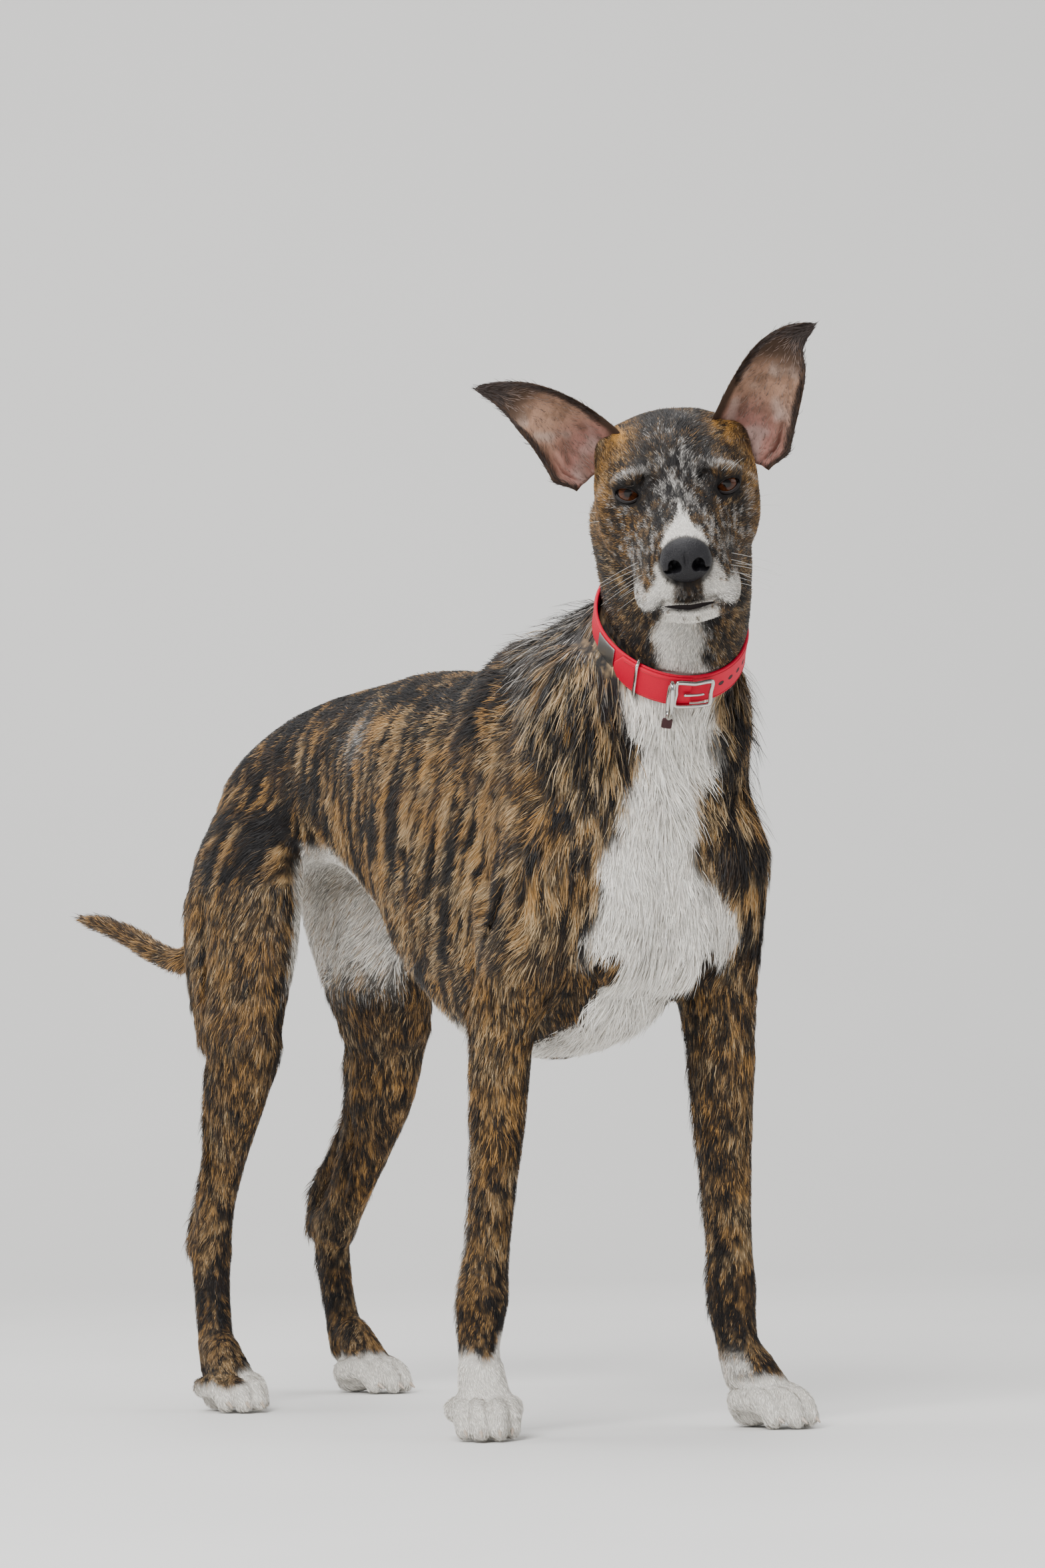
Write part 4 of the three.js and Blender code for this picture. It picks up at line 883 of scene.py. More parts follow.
@dataclass(frozen=True)
class Ear:
    """One thin cupped ear along a spine in the head's frame."""

    side: Side
    spine: Rows
    half: Numbers
    cup: Numbers = (1.25, 1.15, 1.0, 0.9, 0.7, 0.5)
    thick: float = 2.2
    along: int = 56
    across: int = 34

    def sheet(self) -> tuple[Array, Array, Array]:
        """Middle surface, its outward normal at the back and the way to the tip.

        Returns:
            Three arrays of along by across by 3 in the head's frame.
        """
        spine = np.array(self.spine, float)
        t = np.arange(len(spine))
        fine = np.linspace(0, len(spine) - 1, self.along)
        centre = np.stack([spline(fine, t, spine[:, i]) for i in range(3)], 1)
        width = np.maximum(spline(fine, t, self.half), 1.5) * (0.62 + 0.38 * smooth(-0.1, 0.75, fine))
        cup = spline(fine, t, self.cup)
        way = unit(np.gradient(centre, axis=0))
        ahead = np.array([0.0, -1.0, 0.0])
        face = unit(ahead - way * (way @ ahead)[:, None])
        across = np.cross(way, face)
        a = np.linspace(-1, 1, self.across)[None, :, None]
        c, w = cup[:, None, None], width[:, None, None]
        radius = w / np.sin(c)
        f = fine[:, None, None]
        wave = 1.2 * np.sin(9 * a + f * 2.1) * np.abs(a) ** 3
        low = a * self.side.value
        fold = 6.0 * bell((low, 0.50, 0.10)) - 4.5 * bell((low, 0.70, 0.09))
        fold = fold + 4.0 * bell((low, 0.88, 0.07)) + 3.5 * bell((low, -0.5, 0.13))
        wave = wave + fold * bell((f, 0.8, 0.7)) + 2.2 * bell((low, 0.1, 0.12)) * smooth(3.2, 0.4, f)
        points = centre[:, None] + across[:, None] * radius * np.sin(a * c) + \
            face[:, None] * (radius * (1 - np.cos(a * c)) - w * 0.25 + wave)
        u = np.gradient(points, axis=0)
        v = np.gradient(points, axis=1)
        back = unit(np.cross(u, v))
        flip = np.sign((back * -face[:, None]).sum(-1, keepdims=True))
        flip[flip == 0] = 1
        return points, back * flip, unit(u)

    def mesh(self) -> tuple[Surface, Array, Array]:
        """The closed ear.

        Returns:
            The mesh in the dog's frame, which points face the cup, and the way to the tip at each point.
        """
        middle, back, way = self.sheet()
        n, m = self.along, self.across
        edge = np.linspace(-1, 1, m)
        thin = np.clip((1 - np.abs(edge)) * 9, 0.12, 1)[None, :, None]
        tip = np.clip(np.linspace(6, 0, n), 0.15, 1)[:, None, None]
        half = 0.5 * self.thick * thin * tip
        outer, inner = middle + back * half, middle - back * half
        points = HEAD.world(np.concatenate([outer.reshape(-1, 3), inner.reshape(-1, 3)]))
        i, j = np.meshgrid(np.arange(n - 1), np.arange(m - 1), indexing="ij")
        a = (i * m + j).ravel()
        quad = np.stack([a, a + 1, a + m + 1, a + m], 1)
        k = n * m
        loop = np.concatenate(
            [
                np.arange(m), np.arange(1, n) * m + m - 1, (n - 1) * m + np.arange(m - 2, -1, -1),
                np.arange(n - 2, 0, -1) * m
            ]
        )
        rim = np.stack([loop, np.roll(loop, -1), np.roll(loop, -1) + k, loop + k], 1)
        normal = np.cross(points[quad[:, 2]] - points[quad[:, 0]], points[quad[:, 3]] - points[quad[:, 1]])
        if (normal * (back[:-1, :-1].reshape(-1, 3) @ HEAD.axes.T)).sum() < 0:
            quad = quad[:, ::-1]
        else:
            rim = rim[:, ::-1]
        faces = np.concatenate([quad, quad[:, ::-1] + k, rim])
        rows, cols = np.linspace(0, 1, n)[:, None], edge[None]
        low = edge[None] * self.side.value + 0 * rows
        upper = np.interp(rows[:, 0], [0, 0.3, 0.6, 1], [0.30, 0.42, 0.55, 0.7])[:, None]
        bare = smooth(1.0, upper, -low) * smooth(0.98, 0.72, low) * smooth(0.95, 0.55, rows + 0 * cols)
        cupped = np.concatenate([np.zeros(k), 0.5 + 0.5 * bare.ravel()])
        ways = np.concatenate([way.reshape(-1, 3)] * 2) @ HEAD.axes.T
        return Surface(points, faces), cupped, ways


EARS = (
    Ear(
        Side.RIGHT,
        ((-63, 18, 3), (-79, 22, 28), (-98, 22, 51), (-118, 24, 66), (-140, 34, 75), (-161, 46, 79)),
        (40, 35, 29, 23, 13, 3),
    ),
    Ear(
        Side.LEFT,
        ((57, 18, 2), (70, 22, 31), (84, 22, 62), (97, 22, 86), (111, 30, 101), (130, 42, 108)),
        (40, 36, 32, 26, 15, 3),
    ),
)


class Zone(IntEnum):
    """Regions of the coat, each with its own lie, length and place on the unwrap."""

    TRUNK = 0
    NECK = 1
    HEAD = 2
    FORE_RIGHT = 3
    FORE_LEFT = 4
    HIND_RIGHT = 5
    HIND_LEFT = 6
    TAIL = 7
    EAR_RIGHT = 8
    EAR_LEFT = 9


LEGS = (Zone.FORE_RIGHT, Zone.FORE_LEFT, Zone.HIND_RIGHT, Zone.HIND_LEFT)


def on_leg(zone: Array) -> Array:
    """Which zone numbers are those of a leg."""
    return (zone >= Zone.FORE_RIGHT) & (zone <= Zone.HIND_LEFT)


# Corner and size of each region's tile on the unwrap.
TILES = {
    Zone.TRUNK: (0.01, 0.01, 0.6, 0.48), Zone.NECK: (0.63, 0.01, 0.36, 0.23),
    Zone.HEAD: (0.63, 0.26, 0.36, 0.23),
    Zone.FORE_RIGHT: (0.01, 0.51, 0.18, 0.48), Zone.FORE_LEFT: (0.2, 0.51, 0.18, 0.48),
    Zone.HIND_RIGHT: (0.39, 0.51, 0.18, 0.48), Zone.HIND_LEFT: (0.58, 0.51, 0.18, 0.48),
    Zone.TAIL: (0.77, 0.51, 0.07, 0.48), Zone.EAR_RIGHT: (0.85, 0.51, 0.14, 0.23),
    Zone.EAR_LEFT: (0.85, 0.75, 0.14, 0.23),
}


def leg_axis(zone: Zone, z: Array) -> tuple[Array, Array]:
    """Middle of a leg at given heights.

    Args:
        zone: which leg.
        z: heights.

    Returns:
        Its x and its y.
    """
    limb = {
        Zone.FORE_RIGHT: FORE_LIMBS[0], Zone.FORE_LEFT: FORE_LIMBS[1],
        Zone.HIND_RIGHT: HIND_LIMBS[0], Zone.HIND_LEFT: HIND_LIMBS[1],
    }[zone]
    fore = isinstance(limb, ForeLimb)
    rows = limb.leg if fore else limb.thigh[2:4] + limb.shank[:5] + limb.pastern[1:]
    rows = [(r[2], r[0] * limb.side.value, r[1]) for r in rows]
    rows = np.array(sorted(rows + [(0, limb.paw.x, limb.paw.y)]))
    return np.interp(z, rows[:, 0], rows[:, 1]), np.interp(z, rows[:, 0], rows[:, 2])


class Anatomy:
    """Which region a point of the skin belongs to, with the lie of its hair and its place on the unwrap."""

    def zones(self, p: Array) -> Array:
        """Zone numbers of points, the ears left out.

        Args:
            p: points in millimetres.

        Returns:
            One number for each point.
        """
        x, y, z = p.T
        zone = np.full(len(p), Zone.TRUNK)
        legs = z < np.where(y < 0, 430 - 0.2 * np.abs(x), 500)
        legs &= (np.abs(x) > 40) | (z < 330)
        zone[legs & (y < -180)] = Zone.FORE_RIGHT
        zone[legs & (y < -180) & (x > 0)] = Zone.FORE_LEFT
        rear = legs & (y > 150) & ((z < 400) | (np.abs(x) > 60))
        zone[rear & (x < 0)] = Zone.HIND_RIGHT
        zone[rear & (x > 0)] = Zone.HIND_LEFT
        zone[(y > 396) & (np.abs(x + 12) < 45) & (z < 600) & (z > 400)] = Zone.TAIL
        neck = (z > 520) & ((p - np.array(NECK_AT)) @ unit(np.array(NECK_WAY)) > -20)
        zone[neck] = Zone.NECK
        zone[(along_neck(p) > 8) & (z > 660)] = Zone.HEAD
        return zone

    def way(self, p: Array, n: Array, zone: Array) -> Array:
        """Direction in which the hair lies, along the skin.

        Args:
            p: points in millimetres.
            n: outward normals.
            zone: zone numbers.

        Returns:
            Unit vectors.
        """
        x, y, z = p.T
        d = np.zeros_like(p)
        trunk = zone == Zone.TRUNK
        high = smooth(560, 680, z)
        d[trunk] = np.stack([0 * x, 1 + 0 * x, -0.75 * (1 - high)], 1)[trunk]
        chest = trunk & (y < -330)
        d[chest] = (0, 0.25, -1)
        neck = zone == Zone.NECK
        d[neck] = np.stack([0.15 * np.sign(x), 0.55 * smooth(-0.6, 0.5, n[:, 1]), -0.85 + 0 * x], 1)[neck]
        head = zone == Zone.HEAD
        q = HEAD.local(p)
        from_nose = unit(q - np.array([0, -200.0, -5]))
        crown = smooth(-90, -20, q[:, 1]) * smooth(0, 30, q[:, 2])
        spread = np.stack(
            [np.sign(q[:, 0]) * smooth(0, 20, np.abs(q[:, 0])) * 0.5 * crown, 0 * x, 0.3 * crown], 1
        )
        d[head] = ((from_nose + spread) @ HEAD.axes.T)[head]
        for k in LEGS:
            here = zone == k
            foot = smooth(62, 40, z)
            d[here] = np.stack([0 * x, 0.22 - 0.9 * foot, -1 + 0 * x], 1)[here]
        tail = np.array(TAIL, float)
        slope = np.gradient(tail[:, 2], tail[:, 1])
        here = zone == Zone.TAIL
        d[here] = np.stack([0 * x, 1 + 0 * x, np.interp(y, tail[:, 1], slope)], 1)[here]
        bend = np.stack([noise(p, 34, 3 + i) for i in range(3)], 1) * 0.28
        curl = np.stack([noise(p, 11, 13 + i) for i in range(3)], 1) * 0.22
        d = unit(d) + bend + curl
        return unit(d - n * (d * n).sum(1, keepdims=True))

    def unwrap(self, p: Array, zone: Array) -> Array:
        """Places on the unwrap of the skin, each region rolled off its own axis.

        Args:
            p: points in millimetres.
            zone: zone numbers.

        Returns:
            Coordinates from 0 to 1.
        """
        out = np.zeros((len(p), 2))
        for k in Zone:
            here = zone == k
            if not here.any():
                continue
            q = p[here]
            if k in (Zone.HEAD, Zone.EAR_RIGHT, Zone.EAR_LEFT):
                h = HEAD.local(q)
                if k is Zone.HEAD:
                    a, v = np.arctan2(h[:, 0], -(h[:, 2] + 20)) / (2 * math.pi) + 0.5, (h[:, 1] + 185) / 290
                else:
                    a, v = (h[:, 2] + 30) / 150, (np.abs(h[:, 0]) - 35) / 135
            elif k is Zone.TRUNK:
                a, v = (q[:, 1] + 400) / 820, np.arctan2(q[:, 0], -(q[:, 2] - 540)) / (2 * math.pi) + 0.5
            elif k is Zone.NECK:
                w = (q - np.array(NECK_AT)) @ unit(np.array(NECK_WAY))
                c = np.array(NECK_AT) + w[:, None] * unit(np.array(NECK_WAY))
                a, v = (
                    np.arctan2(
                        q[:, 0] - c[:, 0], q[:, 1] - c[:, 1] - (q[:, 2] - c[:, 2])
                    ) / (2 * math.pi) + 0.5,
                    (w + 40) / 250
                )
            elif k is Zone.TAIL:
                zc = np.interp(q[:, 1], [r[1] for r in TAIL], [r[2] for r in TAIL])
                a, v = np.arctan2(q[:, 0] + 12, -(q[:, 2] - zc)) / (2 * math.pi) + 0.5, (q[:, 1] - 390) / 340
            else:
                cx, cy = leg_axis(k, q[:, 2])
                a, v = np.arctan2(q[:, 0] - cx, q[:, 1] - cy) / (2 * math.pi) + 0.5, q[:, 2] / 520
            u0, v0, du, dv = TILES[k]
            out[here] = np.stack([u0 + du * np.clip(a, 0, 1), v0 + dv * np.clip(v, 0, 1)], 1)
        return out

    def lie(self, p: Array, n: Array, zone: Array) -> tuple[Array, Array, Array]:
        """Length, width and lift of the hair at points, in millimetres and as a slope.

        Args:
            p: points in millimetres.
            n: outward normals.
            zone: zone numbers.

        Returns:
            Length, width and lift for each point.
        """
        _, y, z = p.T
        q = HEAD.local(p)
        length = np.full(len(p), 10.5)
        lift = np.full(len(p), 0.13)
        trunk = zone == Zone.TRUNK
        below = smooth(0.1, -0.8, n[:, 2]) * trunk
        length += 9 * below * smooth(560, 430, z)
        withers = smooth(-60, -200, y) * smooth(560, 650, z)
        length += 9 * withers * trunk
        lift += 0.10 * withers * trunk
        breast = smooth(-230, -330, y) * smooth(620, 500, z) * trunk
        length += 6 * breast
        flank = bell((y, 20, 70), (z, 425, 40)) * trunk
        length += 10 * flank
        lift += 0.2 * flank
        neck = zone == Zone.NECK
        length[neck] = 22 + 5 * smooth(-0.2, 0.7, n[neck, 1])
        lift[neck] = 0.2
        for k in LEGS:
            here = zone == k
            high = smooth(60, 330, z[here])
            behind = smooth(0.2, 0.85, n[here, 1]) * smooth(60, 110, z[here])
            length[here] = 5.5 + 6 * high + 7.5 * behind
            lift[here] = 0.13 + 0.22 * behind
        tail = zone == Zone.TAIL
        length[tail] = 15
        lift[tail] = 0.22
        head = zone == Zone.HEAD
        face = smooth(-150, 40, q[:, 1])
        cheek = smooth(-40, 30, q[:, 1]) * smooth(10, -40, q[:, 2])
        length[head] = (3.2 + 5.2 * face + 9 * cheek)[head]
        lift[head] = (0.12 + 0.1 * cheek)[head]
        width = 0.30 + 0.022 * length
        return length, np.minimum(width, 0.85), lift


@dataclass(frozen=True)
class Palette:
    """Colours of the hair in linear light."""

    tan: Numbers = (0.310, 0.178, 0.070)
    gold: Numbers = (0.450, 0.228, 0.058)
    cream: Numbers = (0.480, 0.345, 0.190)
    brown: Numbers = (0.062, 0.036, 0.022)
    black: Numbers = (0.0100, 0.0085, 0.0085)
    silver: Numbers = (0.440, 0.415, 0.385)
    white: Numbers = (0.860, 0.820, 0.750)
    pink: Numbers = (0.270, 0.130, 0.105)


@dataclass(frozen=True)
class Spot:
    """Where colours are read: points, their normals, regions, cup sides and one random number row each."""

    p: Array
    n: Array
    zone: Array
    cupped: Array
    dice: Array | None = None

    def on(self, *zones: Zone) -> Array:
        """1 in the named regions."""
        return np.isin(self.zone, zones).astype(float)


class Markings:
    """The brindle and white pattern of the coat, read the same way for skin and hair."""

    def __init__(self, palette: Palette = Palette()) -> None:
        """Keeps the palette."""
        self.palette = {name: np.array(value) for name, value in vars(palette).items()}

    def colour(self, spot: Spot) -> Array:
        """Hair colour at points.

        Args:
            spot: where the colours are read.

        Returns:
            Linear colours.
        """
        self.spot, self.turn = spot, 0
        self.mixed = np.tile(self.palette["tan"], (len(spot.p), 1))
        self.brindle()
        self.face()
        self.feet()
        self.chest()
        self.ears()
        return self.mixed

    def mix(self, name: str, share: Array, mingle: float = 1.0) -> None:
        """Draws the colours towards one of the palette, hair by hair where the spots are hairs.

        Args:
            name: palette colour.
            share: how much of it, 0 to 1.
            mingle: how far neighbouring hairs differ.
        """
        share, dice = np.clip(share, 0, 1), self.spot.dice
        if dice is not None and mingle:
            die = (dice[:, self.turn % dice.shape[1]] * 7.0 + self.turn * 0.37) % 1.0
            sharp = smooth(-0.16, 0.16, share - 0.04 - 0.92 * die) * smooth(0, 0.03, share)
            share = share * (1 - mingle * 0.8) + sharp * mingle * 0.8
        self.turn += 1
        self.mixed = self.mixed * (1 - share[:, None]) + self.palette[name] * share[:, None]

    def brindle(self) -> None:
        """Black stripes on tan across the trunk, fine mottling on legs and neck, and a painted sheen on the
        loin.
        """
        spot, p = self.spot, self.spot.p
        x, y, z = p.T
        leg, head, trunk = spot.on(*LEGS), spot.on(Zone.HEAD), spot.on(Zone.TRUNK)
        neck, tail = spot.on(Zone.NECK), spot.on(Zone.TAIL)
        warp = np.stack([noise(p, 45, 31), noise(p, 38, 32), noise(p, 60, 33)], 1)
        across = y + 0.25 * (z - 500) + 11 * warp[:, 1] + 4.5 * noise(p, 13, 39)
        body = np.stack([x * 0.3, across, z * 0.16], 1)
        wide = noise(body, 7.2, 41) * 0.62 + noise(body * 1.7, 7.2, 42) * 0.42 + 0.22 * noise(p, 5.5, 48)
        small = p + 4 * warp
        small[:, 2] *= 0.42
        fine = (
            noise(small, 3.2, 43) * 0.5 + noise(small, 1.8, 44) * 0.45 + 0.1 * warp[:, 2]
            + 0.13 * noise(p, 12, 49)
        )
        long = p.copy()
        long[:, 2] *= 0.3
        shaggy = noise(long, 6.5, 53) * 0.6 + noise(long, 3.2, 54) * 0.4
        share = np.clip(smooth(-215, -300, y) * trunk * 0.6 + neck, 0, 1)
        mottle = np.where(leg + head + tail > 0, fine, wide * (1 - share) + shaggy * share)
        self.mix("gold", 0.42 + 0.5 * noise(p, 26, 45))
        pale = 0.24 + 0.5 * noise(p, 19, 46) + 0.22 * smooth(560, 430, z) * trunk + 0.3 * neck + 0.2 * share
        self.mix("cream", np.clip(pale, 0.08, 0.8))
        saddle = smooth(600, 672, z + 12 * warp[:, 1]) * smooth(-330, -230, y) * trunk
        patch = bell((y, 62, 60), (z, 606, 40)) * trunk
        rump = 0.25 * smooth(120, 330, y) * smooth(470, 560, z) * trunk
        light = 0.3 * bell((y, -250, 16), (z, 610, 42)) * trunk
        dark = 0.30 * saddle + 0.34 * patch + rump - light
        ridge = neck * smooth(0.0, 0.7, unit(p - np.array([8, -345, 660]))[:, 1])
        dark = dark + 0.28 * ridge + 0.05 * neck
        inner = leg * (np.abs(x) < np.abs(leg_axis(Zone.FORE_RIGHT, z)[0]) - 6)
        wrist = leg * smooth(66, 84, z) * smooth(150, 122, z)
        dark = dark + 0.12 * inner + 0.2 * wrist + 0.06 * leg + 0.04 * trunk + 0.02 * tail
        soft = 0.30 + 0.22 * (leg + tail)
        self.mix("black", 0.06 + 0.94 * smooth(-soft, soft, -mottle + 1.1 * dark + 0.05), 0.85)
        self.mix("brown", 0.3 * smooth(0.1, 0.9, noise(p, 30, 47)))
        grey = 0.45 * ridge + 0.3 * share * smooth(620, 690, z)
        self.mix("silver", 0.34 * grey)
        # Painted sheen: a pale silver-grey patch high on the loin, where light glances off the dark coat.
        sheen = bell((y, 34, 24), (z, 627, 19)) * trunk
        self.mix("silver", 0.42 * sheen)

    def chest(self) -> None:
        """White throat, chest blaze, underside and inner thighs."""
        spot, p = self.spot, self.spot.p
        x, y, z = p.T
        edge = 7 * noise(p, 20, 51) + 4 * noise(p, 7, 52)
        low = np.interp(
            z, [340, 365, 414, 469, 510, 565, 594, 628, 660, 760],
            [-60, -52, -64, -66, -49, -30, -16, -32, -27, -25]
        )
        high = np.interp(
            z, [340, 365, 411, 450, 469, 500, 531, 565, 590, 627, 660, 760],
            [50, 56, 70, 70, 54, 32, 30, 34, 48, 40, 36, 30]
        )
        front = smooth(-6, 6, x - low + edge) * smooth(-6, 6, high - x + edge)
        facing = smooth(-290, -320, y + 0.35 * (z - 560) * (z > 560)) * smooth(0.25, -0.2, spot.n[:, 1])
        body = spot.on(Zone.TRUNK, Zone.NECK)
        notch = bell((x, 40, 12), (z, 520, 44)) * smooth(0, 14, x - 20)
        self.mix("white", 0.98 * front * facing * body * (1 - 0.9 * notch), 0.5)
        below = smooth(-0.30, -0.62, spot.n[:, 2] + 0.012 * edge) * smooth(545, 520, z)
        inside = smooth(62, 44, np.abs(x) + 0.5 * edge)
        under = (
            below * inside * spot.on(Zone.TRUNK) * smooth(-400, -300, y)
            * np.where(y > 120, smooth(405, 450, z), 1)
        )
        self.mix("white", 0.92 * under, 0.7)
        flank = bell((y, 12, 46), (z, 412, 18)) * (np.abs(x) < 84) * spot.on(Zone.TRUNK)
        self.mix("white", 0.75 * flank)
        inward = (
            smooth(0.25, 0.7, -spot.n[:, 0] * np.sign(x)) * smooth(380, 440, z) * smooth(560, 530, z)
            * (y > 150)
        )
        self.mix("white", 0.75 * inward * spot.on(Zone.TRUNK, Zone.HIND_RIGHT, Zone.HIND_LEFT))

    def feet(self) -> None:
        """White socks and toes, each foot with its own line."""
        spot, p = self.spot, self.spot.p
        x, y, z = p.T
        ragged = 5 * noise(p, 13, 61) + 3 * noise(p, 5, 62)
        for k, line in (
            (Zone.FORE_RIGHT, 76.0), (Zone.FORE_LEFT, 46.0), (Zone.HIND_RIGHT, 40.0), (Zone.HIND_LEFT, 38.0)
        ):
            here = spot.on(k)
            cx, cy = leg_axis(k, z)
            top = np.full(len(p), line)
            if k is Zone.FORE_RIGHT:
                top += 18 * smooth(0, 14, x - cx) - 9 * bell((x - cx, -4, 8)) * (y < cy)
                rear = smooth(8, 17, y - cy) * smooth(196, 150, z)
                self.mix("white", 0.8 * rear * here, 0.6)
            if k is Zone.FORE_LEFT:
                spotted = bell((z, 56, 8)) * smooth(4, 12, cx - x)
                self.mix("white", 0.8 * spotted * here, 0.6)
            if k is Zone.HIND_RIGHT:
                top -= 12 * smooth(0, -16, x - cx) + 8 * smooth(-10, 20, y - cy)
            if k is Zone.HIND_LEFT:
                self.mix("white", 0.7 * smooth(10, 18, y - cy) * smooth(78, 60, z) * here, 0.6)
            self.mix("white", 0.98 * smooth(5, -5, z - top + ragged) * here, 0.4)

    def face(self) -> None:
        """Dark mask with silver streaks, white muzzle end and blaze, tan temples."""
        head = self.spot.on(Zone.HEAD)
        q = HEAD.local(self.spot.p)
        x, y, z = q.T
        a = np.abs(x)
        streak = (
            noise(np.stack([x, y * 0.14, z * 0.4], 1), 2.7, 71)
            + 0.6 * noise(np.stack([x, y * 0.25, z * 0.6], 1), 1.5, 72)
        )
        broad = noise(np.stack([x, y * 0.3, z * 0.8], 1), 9.0, 77)
        top = smooth(-6, 18, z) * smooth(60, 20, y)
        black = 0.62 + 0.32 * top * smooth(44, 24, a) + 0.25 * broad
        self.mix("black", head * black, 0.8)
        middle = smooth(30, 6, a) * smooth(20, -50, y) * smooth(-125, -95, y)
        side = smooth(-30, -70, y) * smooth(16, 2, z) * smooth(-52, -36, z)
        grey = 0.04 + 0.22 * middle + 0.26 * side + 0.03 * smooth(30, 8, a) * top
        self.mix("silver", head * smooth(60, 0, y) * grey * smooth(0.0, 0.6, streak + 0.2 * broad) * 1.9)
        temple = bell((a, 43, 12), (y, 4, 27)) * smooth(14, 30, z) * smooth(44, 30, y)
        cheek = smooth(40, 54, a) * smooth(-66, -40, y) * smooth(30, 8, z) * smooth(-60, -36, z)
        root = smooth(54, 64, a) * smooth(4, 18, y) * smooth(4, 20, z)
        gold = (
            head * (1 - root) * np.clip(1.1 * temple + 0.5 * cheek, 0, 1)
            * smooth(-0.7, 0.3, streak + 0.4 * broad)
        )
        self.mix("gold", gold, 0.7)
        # Painted shade: darkens the hollow at the inner corner of each eye.
        hollow_shade = bell((a, 27, 9), (y, -68, 18), (z, 15, 10))
        self.mix("black", head * 0.5 * hollow_shade, 0.7)
        wide = (
            np.interp(y, [-160, -151, -144, -130, -113, -90, -70], [19, 15, 10, 5.5, 3, 2, 1])
            + 2.4 * streak
        )
        blaze = smooth(1.5, -2.0, a - wide) * smooth(-74, -128, y)
        self.mix("white", head * 0.95 * blaze * smooth(-10, 0, z), 0.8)
        along = np.arcsin(np.clip(a / 55, 0, 1)) / (math.pi / 2)
        jaw = smooth(0.5, -3.0, z - (-48.5 - 12 * along + 3 * np.sin(2 * math.pi * along)))
        ragged = 5 * noise(q, 9, 73) + 3 * streak
        reach = np.interp(z, [-55, -42, -33, -9, 4], [45, 38, 31, 20, 15])
        beside = (
            smooth(10, 15, a) * smooth(-130, -150, y + ragged + 0.15 * a)
            * smooth(2, -3, a - reach + 0.6 * ragged) * (1 - jaw)
        )
        flews = (
            smooth(14, 22, a) * smooth(-112, -132, y + ragged) * smooth(-36, -48, z + 0.5 * ragged)
            * (1 - jaw)
        )
        chin = jaw * smooth(-118, -140, y) * smooth(28, 20, a + 0.4 * ragged) * smooth(-80, -74, z)
        whole = np.maximum.reduce([beside * 0.92, flews * 0.72, chin * 0.94]) * smooth(-1.2, -0.3, streak)
        self.mix("white", head * whole, 0.75)
        under = smooth(21, 5, a + 0.8 * ragged) * smooth(-27, -34, z) * smooth(-140, -155, y) * (1 - jaw)
        self.mix("black", head * 0.52 * under, 0.8)
        # Painted shadow under the flews, on the sides of the lower jaw.
        self.mix("black", head * 0.45 * jaw * smooth(22, 30, a) * smooth(-90, -110, y), 0.8)
        throat = (
            smooth(-52, -70, z) * smooth(-96, -60, y) * smooth(-34, -22, x + 7 * noise(q, 15, 75))
            * smooth(14, 2, x + 6 * noise(q, 13, 76))
        )
        self.mix("white", head * throat * 0.95, 0.6)
        arch = 31 - np.where(a > 37, 0.032, 0.008) * (a - 37) ** 2
        brow = bell((z, arch, 2.0), (y + 64 - 0.03 * (a - 38) ** 2, 0, 4.5)) * smooth(20, 26, a)
        self.mix("silver", head * brow * (0.75 + 0.4 * streak), 0.9)
        eye = np.sqrt(((a - 43) / 14.5) ** 2 + ((z - 12) / 9.5) ** 2 + ((y + 68) / 14) ** 2)
        self.mix("black", head * 0.95 * smooth(1.3, 0.95, eye), 0.3)
        near = mouth_distance(q, head)
        self.mix("black", head * 0.9 * smooth(6.0, 3.0, near) * smooth(32, 20, a), 0.6)
        self.mix("black", head * 0.3 * smooth(9, 4, near))
        # Black skin round and behind the nose leather: a dark edge to the leather, and painted shade where
        # the skin shows through the nostrils.
        rim = np.linalg.norm((q - np.array([0, -168.0, -12])) / np.array([23, 16, 21]), axis=1)
        self.mix("black", head * 0.85 * smooth(1.12, 1.0, rim), 0.3)

    def ears(self) -> None:
        """Dark brown backs and edges, bare pink-grey insides."""
        spot = self.spot
        ear = spot.on(Zone.EAR_RIGHT, Zone.EAR_LEFT)
        self.mix("brown", 0.6 * ear * (1 - spot.cupped))
        self.mix("black", 0.35 * ear * (1 - spot.cupped))
        inner = ear * (spot.cupped > 0)
        bare = np.clip(spot.cupped * 2 - 1, 0, 1)
        q = HEAD.local(spot.p)
        reach = np.linalg.norm(
            q - np.stack([np.sign(q[:, 0]) * 62, 0 * q[:, 0] + 18, 0 * q[:, 0] + 10], 1), axis=1
        )
        self.mix("pink", inner, 0.0)
        self.mix("cream", inner * 0.30 * smooth(25, 60, reach), 0.0)
        self.mix("silver", inner * 0.25 * smooth(0.0, 0.6, noise(spot.p, 12, 82)), 0.0)
        self.mix(
            "brown", inner * 0.45 * smooth(-0.1, 0.6, noise(spot.p, 9, 81) + 0.5 * noise(spot.p, 3, 83)),
            0.2
        )
        self.mix("brown", inner * 0.8 * smooth(16, 4, reach + 5 * noise(spot.p, 6, 84)), 0.2)
        edge = np.maximum(smooth(0.75, 0.25, bare + 0.15 * noise(spot.p, 8, 85)), smooth(70, 92, reach))
        self.mix("brown", inner * 0.95 * edge, 0.3)
        self.mix("black", inner * 0.35 * edge, 0.3)


def mouth_distance(q: Array, head: Array) -> Array:
    """Distance of points in the head's frame from the line between the lips, 99 far from it.

    Args:
        q: points in the head's frame.
        head: above zero on the head.

    Returns:
        Distances in millimetres.
    """
    near = np.full(len(q), 99.0)
    close = np.flatnonzero((head > 0) & (q[:, 2] < -30) & (q[:, 1] < -60))
    if len(close):
        near[close] = np.sqrt(((q[close][:, None] - mouth_line(60)[None]) ** 2).sum(-1).min(1))
    return near


